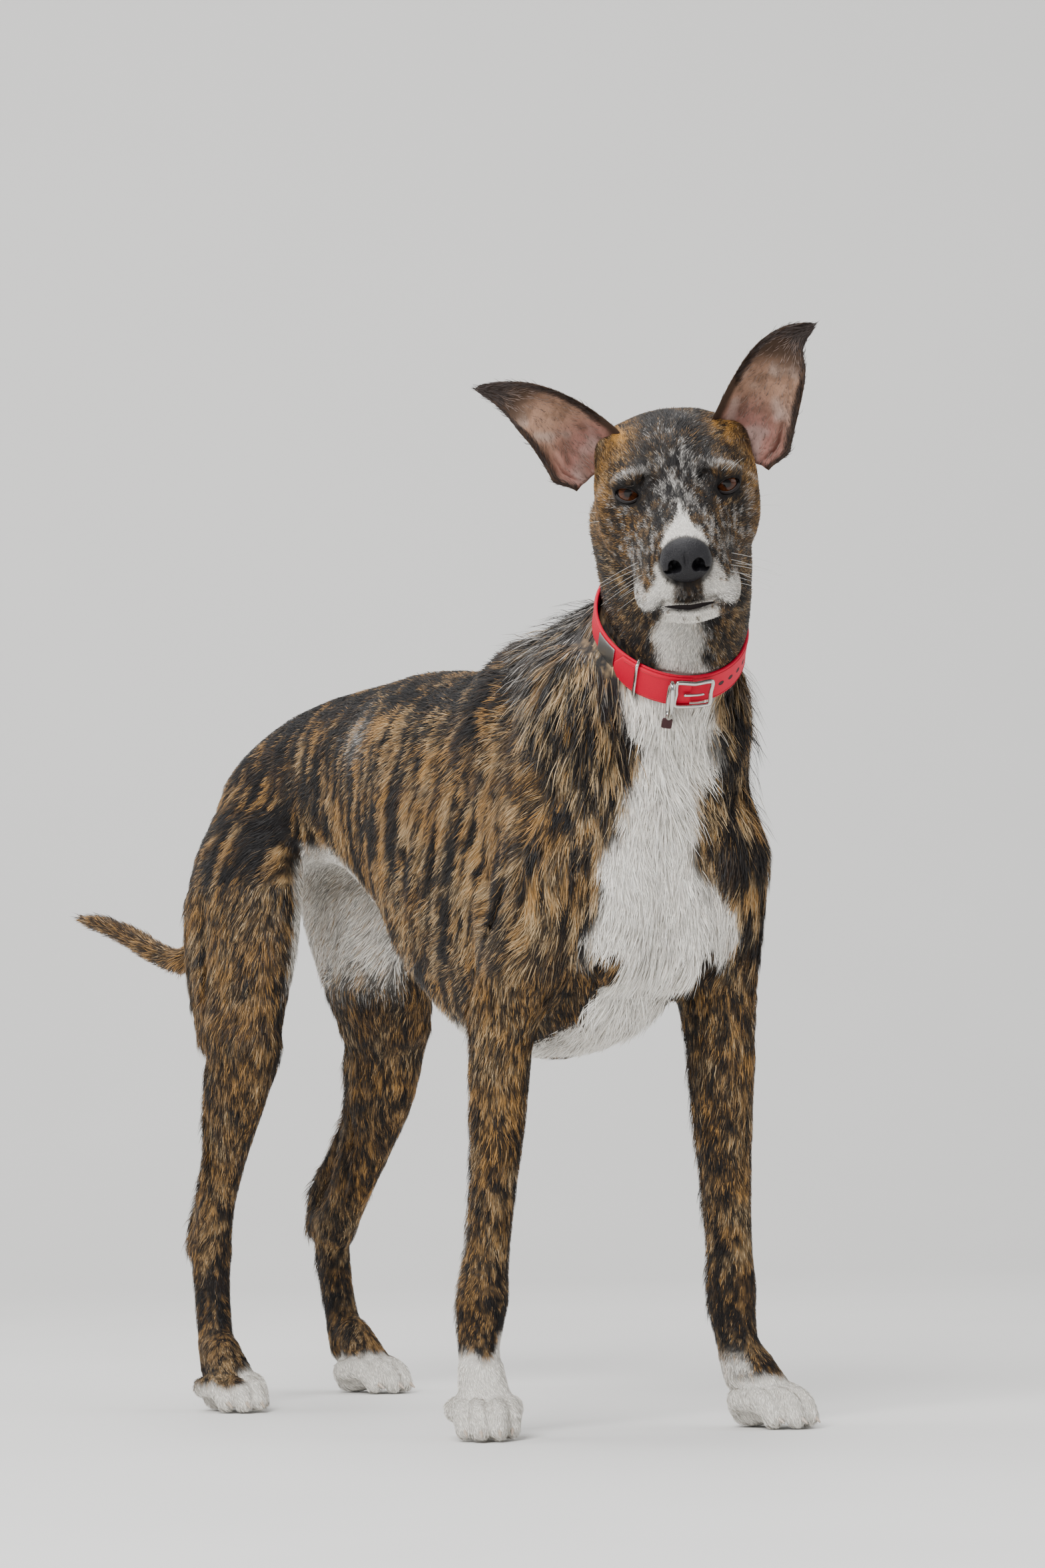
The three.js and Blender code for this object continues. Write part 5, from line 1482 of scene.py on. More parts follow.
@dataclass(frozen=True)
class Finish:
    """A finish made of nodes: colour with fine variation, gloss and bump."""

    name: str
    colour: Numbers
    rough: float = 0.5
    metal: float = 0.0
    spot: float = 0.12
    scale: float = 400.0
    bump: float = 0.15
    depth: float = 0.0003
    stretch: Numbers = (1.0, 1.0, 1.0)
    coat: float = 0.0
    specular: float = 0.5
    attribute: str = ""

    def material(self) -> bpy.types.Material:
        """Builds the material.

        Returns:
            A node material.
        """
        m = bpy.data.materials.new(self.name)
        m.use_nodes = True
        nodes, links = m.node_tree.nodes, m.node_tree.links
        shader = nodes["Principled BSDF"]
        where = nodes.new("ShaderNodeTexCoord")
        mapping = nodes.new("ShaderNodeMapping")
        mapping.inputs["Scale"].default_value = self.stretch
        links.new(where.outputs["Object"], mapping.inputs["Vector"])
        grain = nodes.new("ShaderNodeTexNoise")
        grain.inputs["Scale"].default_value = self.scale
        grain.inputs["Detail"].default_value = 3.0
        links.new(mapping.outputs["Vector"], grain.inputs["Vector"])

        def ranged(low: float, high: float) -> bpy.types.NodeSocket:
            """The grain as a value between two."""
            span = nodes.new("ShaderNodeMapRange")
            span.inputs["To Min"].default_value = low
            span.inputs["To Max"].default_value = high
            links.new(grain.outputs["Fac"], span.inputs["Value"])
            return span.outputs["Result"]

        tint = nodes.new("ShaderNodeVectorMath")
        tint.operation = "SCALE"
        links.new(ranged(1.0 - self.spot * 2, 1.0 + self.spot * 2), tint.inputs["Scale"])
        if self.attribute:
            base = nodes.new("ShaderNodeAttribute")
            base.attribute_name = self.attribute
            links.new(base.outputs["Color"], tint.inputs[0])
        else:
            tint.inputs[0].default_value = self.colour
        links.new(tint.outputs["Vector"], shader.inputs["Base Color"])
        links.new(ranged(max(self.rough - 0.08, 0.02), self.rough + 0.08), shader.inputs["Roughness"])
        if self.bump:
            relief = nodes.new("ShaderNodeBump")
            relief.inputs["Strength"].default_value = self.bump
            relief.inputs["Distance"].default_value = self.depth
            links.new(grain.outputs["Fac"], relief.inputs["Height"])
            links.new(relief.outputs["Normal"], shader.inputs["Normal"])
        plain = {
            "Metallic": self.metal, "Specular IOR Level": self.specular,
            "Coat Weight": self.coat, "Coat Roughness": 0.06,
        }
        for socket, value in plain.items():
            shader.inputs[socket].default_value = value
        return m


SKIN = Finish(
    "skin", (0.2, 0.15, 0.1), 0.75, spot=0.14, scale=900, bump=0.5, depth=0.0006, stretch=(1, 1, 0.35),
    attribute="coat", specular=0.15
)
HAIR = Finish(
    "hair", (0.2, 0.15, 0.1), 0.5, spot=0.16, scale=1500, bump=0.0, stretch=(1, 1, 0.3), attribute="coat",
    specular=0.2
)
IRIS = Finish(
    "eye", (0.2, 0.1, 0.05), 0.14, spot=0.1, scale=2600, bump=0.0, attribute="coat", coat=0.08,
    specular=0.28
)
RIM = Finish("lid_rim", (0.012, 0.009, 0.009), 0.5, spot=0.15, scale=1400, bump=0.3, specular=0.3)
LIP = Finish("lip_skin", (0.007, 0.005, 0.005), 0.8, spot=0.15, scale=1400, bump=0.4, specular=0.1)
NOSE_LEATHER = Finish(
    "nose_leather", (0.0085, 0.0080, 0.0100), 0.46, spot=0.2, scale=850, bump=1.0, depth=0.0009,
    specular=0.3
)
HORN = Finish(
    "claw_horn", (0.44, 0.36, 0.29), 0.4, spot=0.2, scale=900, bump=0.2, stretch=(1, 1, 0.3), coat=0.1
)
RED = Finish(
    "red_strap", (0.60, 0.0005, 0.030), 0.55, spot=0.05, scale=700, bump=0.12, depth=0.0002, specular=0.22
)
NICKEL = Finish("nickel", (0.60, 0.59, 0.56), 0.2, metal=1.0, spot=0.07, scale=500, bump=0.08, depth=0.0001)
STEEL = Finish(
    "plate_steel", (0.42, 0.43, 0.43), 0.33, metal=1.0, spot=0.08, scale=300, bump=0.15, depth=0.0001,
    stretch=(1, 8, 1)
)
# Dark red-black: the tag's own colour, and painted shade filling the strap's holes.
TAG_AND_HOLE_SHADE = Finish("strap_hole", (0.035, 0.004, 0.006), 0.7, scale=800)
THREAD = Finish("strap_edge", (0.42, 0.006, 0.02), 0.6, scale=2500, bump=0.5, depth=0.0002)
FLOOR = Finish("pale_floor", (0.80, 0.79, 0.77), 0.6, spot=0.015, scale=3.0, bump=0.03, depth=0.0005)


class Bench:
    """Turns meshes in the dog's millimetres into pieces of the scene."""

    def __init__(self, shift: Array) -> None:
        """Keeps the way from the dog's frame to the shared one, and the finishes made so far."""
        self.shift = shift
        self.made: dict[str, bpy.types.Material] = {}

    def finish(self, finish: Finish) -> bpy.types.Material:
        """The material of a finish, built once."""
        if finish.name not in self.made:
            self.made[finish.name] = finish.material()
        return self.made[finish.name]

    def metres(self, points: Array) -> Array:
        """Points in the shared frame."""
        return (points + self.shift) * MM

    def piece(
        self, name: str, surface: Surface, finish: Finish, slot: str, colour: Array | None = None,
        soft: bool = True
    ) -> bpy.types.Object:
        """Makes a piece that rides with the dog.

        Args:
            name: its name.
            surface: its mesh.
            finish: its finish.
            slot: not used.
            colour: linear colour at each point, where the finish reads one.
            soft: smooth shading.

        Returns:
            The object.
        """
        mesh = bpy.data.meshes.new(name)
        corners = surface.faces.shape[1]
        mesh.vertices.add(len(surface.points))
        mesh.vertices.foreach_set("co", self.metres(surface.points).astype(F32).ravel())
        mesh.loops.add(surface.faces.size)
        mesh.loops.foreach_set("vertex_index", surface.faces.astype(np.int32).ravel())
        mesh.polygons.add(len(surface.faces))
        mesh.polygons.foreach_set("loop_start", np.arange(0, surface.faces.size, corners, dtype=np.int32))
        mesh.update(calc_edges=True)
        mesh.polygons.foreach_set("use_smooth", np.full(len(surface.faces), soft))
        if colour is not None:
            layer = mesh.color_attributes.new("coat", "FLOAT_COLOR", "POINT")
            layer.data.foreach_set(
                "color", np.concatenate([colour, np.ones((len(colour), 1))], 1).astype(F32).ravel()
            )
        mesh.materials.append(self.finish(finish))
        piece = bpy.data.objects.new(name, mesh)
        bpy.context.scene.collection.objects.link(piece)
        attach(piece, "root")
        LOG.info("%s: %d faces", name, len(surface.faces))
        return piece


def unwrap_faces(piece: bpy.types.Object, surface: Surface, places: Array) -> None:
    """Lays the skin's unwrap on a piece, mending faces that cross a seam.

    Args:
        piece: the object.
        surface: its mesh.
        places: unwrap place of each point.
    """
    corner = places[surface.faces]
    wide = np.ptp(corner, axis=1).max(1) > 0.05
    corner[wide] = corner[wide][:, :1] + (corner[wide] - corner[wide].mean(1, keepdims=True)) * 0.002
    layer = piece.data.uv_layers.new(name="OFBake")
    layer.data.foreach_set("uv", corner.astype(F32).ravel())


class Skin:
    """The one skin of trunk, legs, tail, head and ears."""

    def __init__(self, dog: Dog, quick: bool) -> None:
        """Nets the blended form at a fineness that suits each region.

        Args:
            dog: the form.
            quick: coarser body.
        """
        self.anatomy = Anatomy()
        form = dog.form
        body = form.surface(WORLD, (-150, -425, -2), (150, 732, 800), 4.5 if quick else 3.6).relaxed(1)
        collar = along_neck(body.points)
        above = (collar > 2) & (body.points[:, 2] > 640)
        low = body.points[:, 2] < 62
        body = body.kept(~above & ~low)
        head = form.surface(HEAD, (-112, -182, -215), (112, 135, 66), 2.0 if quick else 1.4)
        rise = along_neck(head.points)
        head = head.kept((rise > -4) & (head.points[:, 2] > 640))
        feet = [self.foot(form, limb.paw, quick) for limb in FORE_LIMBS + HIND_LIMBS]
        parts, marks = [body, head, *feet], []
        for part in parts:
            zone = self.anatomy.zones(part.points)
            normal = part.normals()
            part.points -= normal * self.depth(part.points, zone)[:, None]
            if part is body:
                away = part.points[:, 2] < 64
                part.points[away] -= normal[away] * 0.6
            marks.append((zone, np.zeros(len(zone)), self.anatomy.way(part.points, normal, zone)))
        for ear, zone in zip(EARS, (Zone.EAR_RIGHT, Zone.EAR_LEFT)):
            surface, cupped, way = ear.mesh()
            parts.append(surface)
            marks.append((np.full(len(cupped), zone), cupped, way))
        self.surface = joined(parts)
        self.zone = np.concatenate([m[0] for m in marks])
        self.cupped = np.concatenate([m[1] for m in marks])
        self.way = np.concatenate([m[2] for m in marks])
        self.normal = self.surface.normals()
        self.colour = Markings().colour(Spot(self.surface.points, self.normal, self.zone, self.cupped))
        self.places = self.anatomy.unwrap(self.surface.points, self.zone)

    @staticmethod
    def foot(form: Sculpture, paw: Paw, quick: bool) -> Surface:
        """One foot up to its pastern."""
        return form.surface(paw.frame(), (-38, -60, -1.2), (38, 66, 68), 2.4 if quick else 1.7)

    @staticmethod
    def depth(points: Array, zone: Array) -> Array:
        """How far the skin lies under the tips of the coat."""
        deep = np.array([2.0, 3.0, 0.7, 1.2, 1.2, 1.2, 1.2, 1.8, 0.2, 0.2])[zone]
        return np.where(on_leg(zone) & (points[:, 2] < FOOT_TOP), 0.6, deep)

    def build(self, bench: Bench) -> bpy.types.Object:
        """Makes the skin piece and hides the flesh solids under it.

        Args:
            bench: makes the pieces.

        Returns:
            The skin.
        """
        # Painted shade: the skin under the coat takes the hair's markings at 0.6 of their brightness, as if
        # shaded by the hairs; the bare ear insides keep the full colour.
        painted_shade = np.where(self.cupped > 0, 1.0, 0.6)[:, None]
        piece = bench.piece("skin", self.surface, SKIN, "coat", self.colour * painted_shade)
        unwrap_faces(piece, self.surface, self.places)
        flesh = ["head", "ear_right", "ear_left", "neck", "chest", "loin", "tail"]
        for side in Side:
            flesh += [
                f"{part}_{side.label}"
                for part in ("foreleg", "thigh", "shank", "pastern", "paw_fore", "paw_hind")
            ]
        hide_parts(*flesh)
        return piece


@dataclass
class Coat:
    """The hair: thin ribbons in tufts over the skin, along the lie of the coat."""

    skin: Skin
    collar: Collar
    total: int = 480000
    seed: int = 7
    limit: int = 64000

    def density(self, p: Array, zone: Array, cupped: Array) -> Array:
        """Hairs for each square millimetre, relative to the trunk."""
        base = np.array([1.0, 1.15, 4.2, 1.5, 1.5, 1.5, 1.5, 1.4, 1.8, 1.8])[zone]
        base = np.where(on_leg(zone) & (p[:, 2] < FOOT_TOP), 3.0, base)
        return np.where(cupped > 0.1, 0.25 + 2.6 * smooth(0.92, 0.6, cupped), base)

    def roots(self) -> dict[str, Array]:
        """Random roots over the skin with all that a hair needs there.

        Returns:
            Arrays by name.
        """
        rng = np.random.default_rng(self.seed)
        s = self.skin.surface
        tri = np.concatenate([s.faces[:, [0, 1, 2]], s.faces[:, [0, 2, 3]]])
        a, b, c = (s.points[tri[:, i]] for i in range(3))
        area = np.linalg.norm(np.cross(b - a, c - a), axis=1) / 2
        zone = self.skin.zone[tri[:, 0]]
        cupped = self.skin.cupped[tri].mean(1)
        weight = area * self.density(a, zone, cupped)
        count = self.total // 1
        pick = np.searchsorted(np.cumsum(weight) / weight.sum(), rng.random(count))
        u, v = rng.random(count), rng.random(count)
        over = u + v > 1
        u[over], v[over] = 1 - u[over], 1 - v[over]
        share = np.stack([1 - u - v, u, v], 1)[..., None]

        def read(values: Array) -> Array:
            """Values at the roots."""
            return (values[tri[pick]] * share).sum(1)

        p = read(s.points)
        return {
            "p": p, "n": unit(read(self.skin.normal)), "way": unit(read(self.skin.way)), "zone": zone[pick],
            "cupped": cupped[pick],
            "dice": rng.random((count, 6)),
        }

    def keep(self, r: dict[str, Array]) -> Array:
        """Roots that aren't in the eyes, the nose, the mouth or under the strap.

        Args:
            r: what roots() gives.

        Returns:
            True where a hair grows.
        """
        p, zone = r["p"], r["zone"]
        q = HEAD.local(p)
        head = zone == Zone.HEAD
        eye = ((np.abs(q[:, 0]) - 43.2) / 13.2) ** 2 + ((q[:, 2] - 12) / 9.0) ** 2 < 1
        nose = np.linalg.norm((q - np.array([0, -170, -12])) / np.array([23, 15, 19.5]), axis=1) < 1.0
        rise = along_neck(p)
        strap = (rise > -3) & (rise < 14.5) & (np.linalg.norm(p - COLLAR_AT, axis=1) < 130)
        ring = self.collar.frame.local(p)
        degrees = np.degrees(np.arctan2(ring[:, 1], ring[:, 0])) % 360
        flare = np.hypot(ring[:, 0], ring[:, 1]) - self.collar.radius(degrees)
        front = (np.abs(degrees - 180) > 125) & (p[:, 2] > 600)
        strap |= (rise > -14) & (rise <= -3) & (flare > -1.5) & (flare < 8) & front
        near = mouth_distance(q, head)
        inside = (r["cupped"] > 0.5) & (np.abs(q[:, 0]) < 58)
        pad = (p[:, 2] < 3) & on_leg(zone)
        mouth = (near < 2.2) & (np.abs(q[:, 0]) < 19)
        return ~((head & eye & (q[:, 1] < -52)) | (head & nose) | strap | mouth | inside | pad)

    def build(self, bench: Bench) -> list[bpy.types.Object]:
        """Grows the coat.

        Args:
            bench: makes the pieces.

        Returns:
            The coat pieces.
        """
        r = self.roots()
        keep = self.keep(r)
        r = {k: v[keep] for k, v in r.items()}
        p, n, way, zone, dice = r["p"], r["n"], r["way"], r["zone"], r["dice"]
        anatomy = self.skin.anatomy
        length, width, lift = anatomy.lie(p, n, zone)
        ears = zone >= Zone.EAR_RIGHT
        length[ears], width[ears], lift[ears] = 4.5, 0.4, 0.1
        width[zone == Zone.HEAD] *= 0.85
        lift[ears & (r["cupped"] > 0.1)] = 0.5
        length[ears & (r["cupped"] > 0.1)] = 7.0
        length *= (0.7 + 0.6 * dice[:, 0]) * (1 + 0.25 * noise(p, 18, 91))
        neck = zone == Zone.NECK
        stray = (dice[:, 1] > np.where(neck, 0.93, 0.985)) & ~ears
        length = length * (1 + 0.35 * stray * neck)
        lift = lift * (0.5 + 1.0 * dice[:, 2]) + (0.16 + 0.22 * neck) * stray
        lift = np.maximum(lift + 0.06 * noise(p, 12, 92), 0.03)
        side = np.cross(n, way)
        angle = (dice[:, 3] - 0.5) * 0.5
        d = unit(way * np.cos(angle)[:, None] + side * np.sin(angle)[:, None])
        side = np.cross(n, d)
        tilt = (dice[:, 4] - 0.5) * 1.1
        blade = unit(side * np.cos(tilt)[:, None] + n * np.sin(tilt)[:, None])
        colour = self.tones(p, n, zone, r["cupped"], dice)
        strap = unit(np.array(COLLAR_NORMAL))
        rise = along_neck(p)
        fall = -(d @ strap)
        over = (rise > 0) & (rise < 70) & (fall > 0.05) & (p[:, 2] > 600)
        lift[(rise < 0) & (rise > -19) & (p[:, 2] > 600)] = 0.05
        length[over] = np.minimum(length[over], np.maximum((rise[over] - 15.0) / fall[over], 1.5))
        drop = np.zeros((len(p), 3))
        drop[:, 2] = -0.012 * np.maximum(length - 9, 0) ** 1.3
        mid = p + d * (length * 0.5)[:, None] + n * (length * 0.5 * lift + 0.25)[:, None] + 0.3 * drop
        tip = p + d * length[:, None] + n * (length * lift * 0.75)[:, None] + drop
        start = p - n * 0.4
        half = (blade * width[:, None]) * 0.5
        points = np.stack([start - half, start + half, mid - half * 0.9, mid + half * 0.9, tip], 1)
        low = points[..., 2] < 0.6
        points[..., 2][low] = 0.6
        places = anatomy.unwrap(p, zone)
        pieces = []
        for region in Zone:
            members = np.flatnonzero(zone == region)
            shares = np.array_split(members, max(1, math.ceil(len(members) / self.limit)))
            for k, part in enumerate(shares):
                name = f"coat_{region.name.lower()}_{k + 1}"
                pieces.append(self.ribbons(bench, name, points[part], colour[part], places[part]))
        return pieces

    def tones(self, p: Array, n: Array, zone: Array, cupped: Array, dice: Array) -> Array:
        """Colours of single hairs: the marking at the root, strayed a little between neighbours.

        Args:
            p: points in millimetres.
            n: outward normals.
            zone: zone numbers.
            cupped: above zero inside an ear.
            dice: random numbers of each hair.

        Returns:
            Linear colours.
        """
        wander = (dice[:, 3:6] - 0.5) * 3.0
        colour = Markings().colour(Spot(p + wander, n, zone, cupped, dice))
        ears = zone >= Zone.EAR_RIGHT
        inside = ears & (cupped > 0.1)
        fuzz = smooth(0.7, 0.9, cupped[inside] + 0.2 * (dice[inside, 1] - 0.5))[:, None]
        colour[inside] = np.array([0.055, 0.042, 0.038]) * (1 - fuzz) + np.array([0.26, 0.19, 0.16]) * fuzz
        light = 0.7 + 0.6 * dice[:, 5]
        return colour * light[:, None]

    def ribbons(
        self, bench: Bench, name: str, points: Array, colour: Array, places: Array
    ) -> bpy.types.Object:
        """One coat piece.

        Args:
            bench: makes the piece.
            name: its name.
            points: five points for each hair.
            colour: colour of each hair.
            places: unwrap place of each root.

        Returns:
            The object.
        """
        count = len(points)
        base = np.arange(count)[:, None, None] * 5
        faces = (base + np.array([[0, 1, 3], [0, 3, 2], [2, 3, 4]])[None]).reshape(-1, 3)
        # Painted shade along each hair: 0.62 of its colour at the root, where the coat shades it, rising to
        # 1.12 at the tip.
        painted_shade = np.array([0.62, 0.62, 0.95, 0.95, 1.12])[None, :, None]
        tones = np.clip(colour[:, None] * painted_shade, 0, 1).reshape(-1, 3)
        piece = bench.piece(name, Surface(points.reshape(-1, 3), faces), HAIR, "coat", tones)
        patch = np.array([[0, 0], [0.0015, 0], [0, 0.0015], [0.0015, 0.0015], [0.0008, 0.003]])
        uv = (places[:, None] + patch[None]).reshape(-1, 2)[faces.ravel()]
        layer = piece.data.uv_layers.new(name="OFBake")
        layer.data.foreach_set("uv", np.clip(uv, 0, 1).astype(F32).ravel())
        return piece


def ring_faces(rows: int, sides: int, closed: bool = False) -> Array:
    """Quads between rings of points, each ring closed in itself.

    Args:
        rows: number of rings.
        sides: points of a ring.
        closed: joins the last ring to the first.

    Returns:
        Faces of four point numbers.
    """
    i, j = np.meshgrid(np.arange(rows if closed else rows - 1), np.arange(sides), indexing="ij")
    i2, j2 = (i + 1) % rows, (j + 1) % sides
    return np.stack([i * sides + j, i2 * sides + j, i2 * sides + j2, i * sides + j2], -1).reshape(-1, 4)


def lofted(rings: Array, closed: bool = False) -> Surface:
    """A skin over rings of points, with a fan over each open end.

    Args:
        rings: rows by sides by 3.
        closed: joins the last ring to the first.

    Returns:
        A mesh of quads.
    """
    rows, sides = rings.shape[:2]
    faces, points = ring_faces(rows, sides, closed), rings.reshape(-1, 3)
    if closed:
        return Surface(points, faces)
    k, end, j = rows * sides, (rows - 1) * sides, np.arange(sides)
    step = (j + 1) % sides
    first = np.stack([j, step, np.full(sides, k), np.full(sides, k)], 1)
    last = np.stack([step + end, j + end, np.full(sides, k + 1), np.full(sides, k + 1)], 1)
    points = np.concatenate([points, rings[[0, -1]].mean(1)])
    return Surface(points, np.concatenate([faces, first, last]))


def tube(points: Array, radius: float | Array, sides: int = 10, closed: bool = False) -> Surface:
    """Round wire along points.

    Args:
        points: its middle line.
        radius: one or one for each point.
        sides: corners of its section.
        closed: joins the ends.

    Returns:
        A mesh of quads.
    """
    n = len(points)
    way = unit(np.roll(points, -1, 0) - np.roll(points, 1, 0) if closed else np.gradient(points, axis=0))
    out = points - points.mean(0)
    out = unit(out - way * (out * way).sum(1, keepdims=True) + 1e-6)
    up = np.cross(way, out)
    a = np.linspace(0, 2 * math.pi, sides, endpoint=False)
    radius = np.broadcast_to(np.asarray(radius, float), (n,))[:, None, None]
    ring = (
        points[:, None]
        + radius * (out[:, None] * np.cos(a)[None, :, None] + up[:, None] * np.sin(a)[None, :, None])
    )
    skin = lofted(ring, closed)
    return Surface(skin.points, skin.faces[:, ::-1])


def smooth_loop(points: Array, count: int) -> Array:
    """A closed line through points, evenly stepped and rounded.

    Args:
        points: corners of the line.
        count: how many points.

    Returns:
        Points of the line.
    """
    n = len(points)
    t = np.arange(count) / count * n
    i = t.astype(int)
    f = (t - i)[:, None]
    p = [points[(i + k) % n] for k in (-1, 0, 1, 2)]
    m1, m2 = (p[2] - p[0]) * 0.3, (p[3] - p[1]) * 0.3
    f2, f3 = f * f, f * f * f
    return (2 * f3 - 3 * f2 + 1) * p[1] + (f3 - 2 * f2 + f) * m1 + (-2 * f3 + 3 * f2) * p[2] + (f3 - f2) * m2


@dataclass(frozen=True)
class Face:
    """Eyes, lid rims, nose, whiskers and the dark line of the mouth."""

    gaze: Numbers = (0.10, -0.95, 0.22)
    iris: float = 8.4
    pupil: float = 3.4

    def build(self, bench: Bench) -> None:
        """Makes both eyes, the nose, the lips and the whiskers.

        Args:
            bench: makes the pieces.
        """
        for side in Side:
            self.eye(bench, side)
            self.rims(bench, side)
        self.nose(bench)
        self.lips(bench)
        self.whiskers(bench)

    def eye(self, bench: Bench, side: Side) -> None:
        """A glossy eyeball with its iris and pupil.

        Args:
            bench: makes the pieces.
            side: which side.
        """
        centre = HEAD.world([(side.value * EYE_AT[0], EYE_AT[1], EYE_AT[2])])[0]
        look = HEAD.axes @ unit(np.array(self.gaze) * (side.value, 1, 1))
        side_way = unit(np.cross(look, (0.0, 0, 1)))
        axes = np.stack([side_way, np.cross(look, side_way), look], 1)
        rows, cols = 60, 48
        theta = np.linspace(0, math.pi, rows)[:, None]
        phi = np.linspace(0, 2 * math.pi, cols, endpoint=False)[None]
        r = EYE_RADIUS * (1 + 0.05 * bell((theta, 0, 0.42)))
        ball = np.stack(
            [r * np.sin(theta) * np.cos(phi), r * np.sin(theta) * np.sin(phi), r * np.cos(theta) + 0 * phi],
            -1
        )
        points = centre + ball.reshape(-1, 3) @ axes.T
        faces = ring_faces(rows, cols)
        away = (np.sin(theta) * EYE_RADIUS + 0 * phi).ravel()
        ray = 0.5 + 0.5 * np.sin(phi * 31 + 3 * np.sin(phi * 7)) + 0 * theta
        front = (np.cos(theta) + 0 * phi).ravel() > 0
        t = np.clip((away - self.pupil) / (self.iris - self.pupil), 0, 1)[:, None]
        iris = np.array([0.030, 0.009, 0.004]) * (1 - t) + np.array([0.085, 0.026, 0.008]) * t
        iris = iris * (0.75 + 0.5 * ray.ravel()[:, None])
        colour = np.where((away < self.pupil)[:, None], np.array([0.004, 0.003, 0.003]), iris)
        ring = smooth(self.iris - 0.7, self.iris, away)[:, None]
        white = np.array([0.022, 0.013, 0.010])
        colour = colour * (1 - ring) + ring * np.array([0.012, 0.008, 0.007])
        outer = (smooth(self.iris + 0.3, self.iris + 1.4, away) + ~front)[:, None].clip(0, 1)
        colour = colour * (1 - outer) + white * outer
        name = f"eye_{side.label}"
        piece = bench.piece(f"eyeball_{side.label}", Surface(points, faces), IRIS, "eye", colour)
        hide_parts(name)

    def almond(self, side: Side, grow: float, radius: float, count: int = 72) -> Array:
        """The opening between the lids, on a sphere round the eye.

        Args:
            side: which eye.
            grow: widens the opening.
            radius: of the sphere.
            count: points.

        Returns:
            A closed line in the dog's frame.
        """
        s = side.value
        a = np.linspace(0, 2 * math.pi, count, endpoint=False)
        t = np.cos(a)
        x = 2.2 + (9.3 + grow) * t
        rise = np.where(np.sin(a) > 0, 6.4 + grow, 5.4 + grow) * np.abs(np.sin(a)) ** 1.25
        z = np.sign(np.sin(a)) * rise + 1.2 * t + 0.4
        x = x - 1.2 * smooth(-0.75, -1.0, t)
        z = z - 1.0 * smooth(-0.75, -1.0, t)
        y = -np.sqrt(np.maximum(radius ** 2 - x ** 2 - z ** 2, 4.0))
        return HEAD.world(np.array([s * EYE_AT[0], EYE_AT[1], EYE_AT[2]]) + np.stack([s * x, y, z], 1))

    def rims(self, bench: Bench, side: Side) -> None:
        """Dark lid rims round the opening."""
        inner = tube(self.almond(side, 0.3, 12.1), 0.85, 8, closed=True)
        outer = tube(self.almond(side, 1.4, 12.5), 0.95, 8, closed=True)
        bench.piece(f"lids_{side.label}", joined([inner, outer]), RIM, "nose")

    def nose(self, bench: Bench) -> None:
        """Nose leather with open nostrils and the groove between them.

        Args:
            bench: makes the pieces.
        """
        pad = Sculpture()
        pad.add(Ball(NOSE_AT, (21.5, 13, 19), HEAD), 0).add(Ball((0, -167, -7), (19, 13, 14), HEAD), 6)
        for side in Side:
            s = side.value
            pad.add(Ball((s * 11.5, -171, -12), (9.5, 9, 10), HEAD), 4)
            pad.carve(Ball((s * 9.8, -180, -12), (5.3, 15, 6.4), HEAD, turn("y", s * 18)), 1.4)
            pad.carve(Ball((s * 15.6, -177, -16.8), (5.4, 11, 2.7), HEAD, turn("y", s * 38)), 1.2)
        pad.carve(Ball((0, -181, -25), (0.9, 4.4, 9), HEAD), 1.0)
        pad.carve(Ball((0, -180, -4), (1.6, 1.6, 9), HEAD), 3.0)
        surface = pad.surface(HEAD, (-27, -190, -36), (27, -148, 12), 0.75).relaxed(1)
        piece = bench.piece("nose_leather", surface, NOSE_LEATHER, "nose")
        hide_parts("nose")

    def lips(self, bench: Bench) -> None:
        """The dark edge of the lips along the mouth."""
        line = mouth_line(81)[30:51] + np.array([0, -1.0, -0.6])
        thick = 2.1 * np.sin(np.linspace(0.1, math.pi - 0.1, len(line))) ** 0.7
        bench.piece("lips", tube(HEAD.world(line), thick, 10), LIP, "nose")

    def whiskers(self, bench: Bench) -> None:
        """Long stiff hairs on the muzzle, the chin and over the eyes.

        Args:
            bench: makes the pieces.
        """
        rng = np.random.default_rng(21)
        hairs = []
        for side in Side:
            s = side.value
            for row in range(2):
                for k in range(4):
                    root = np.array([s * (27 + 3 * k), -144 + 12 * k, -32 - 9 * row])
                    way = unit(
                        np.array(
                            [
                                s * (0.9 + 0.2 * rng.random()), 0.25 - 0.35 * rng.random(),
                                -0.25 - 0.25 * rng.random()
                            ]
                        )
                    )
                    hairs.append((root, way, 34 + 24 * rng.random()))
            for k in range(3):
                root = np.array([s * (36 + 5 * k), -68.0, 24 + k])
                hairs.append((root, unit(np.array([s * 0.5, -0.5, 0.75])), 22 + 8 * rng.random()))
            for k in range(2):
                hairs.append(
                    (
                        np.array([s * 58, -40.0 + 14 * k, -20]),
                        unit(np.array([s * 0.95, -0.1, 0.1 + 0.2 * k])), 34.0
                    )
                )
            for k in range(3):
                hairs.append(
                    (
                        np.array([s * (6 + 6 * k), -150.0 + 4 * k, -62]),
                        unit(np.array([s * 0.4, -0.35, -0.85])), 16.0
                    )
                )
        pieces = []
        for root, way, length in hairs:
            t = np.linspace(0, 1, 7)[:, None]
            near = root - way * 3
            line = near + way * length * t + np.array([0, 0.1, -0.16]) * length * t ** 2
            pieces.append(tube(HEAD.world(line), np.linspace(0.20, 0.05, 7), 5))
        bench.piece(
            "whiskers", joined(pieces), Finish("whisker", (0.62, 0.60, 0.56), 0.4, scale=900, bump=0.0),
            "coat"
        )


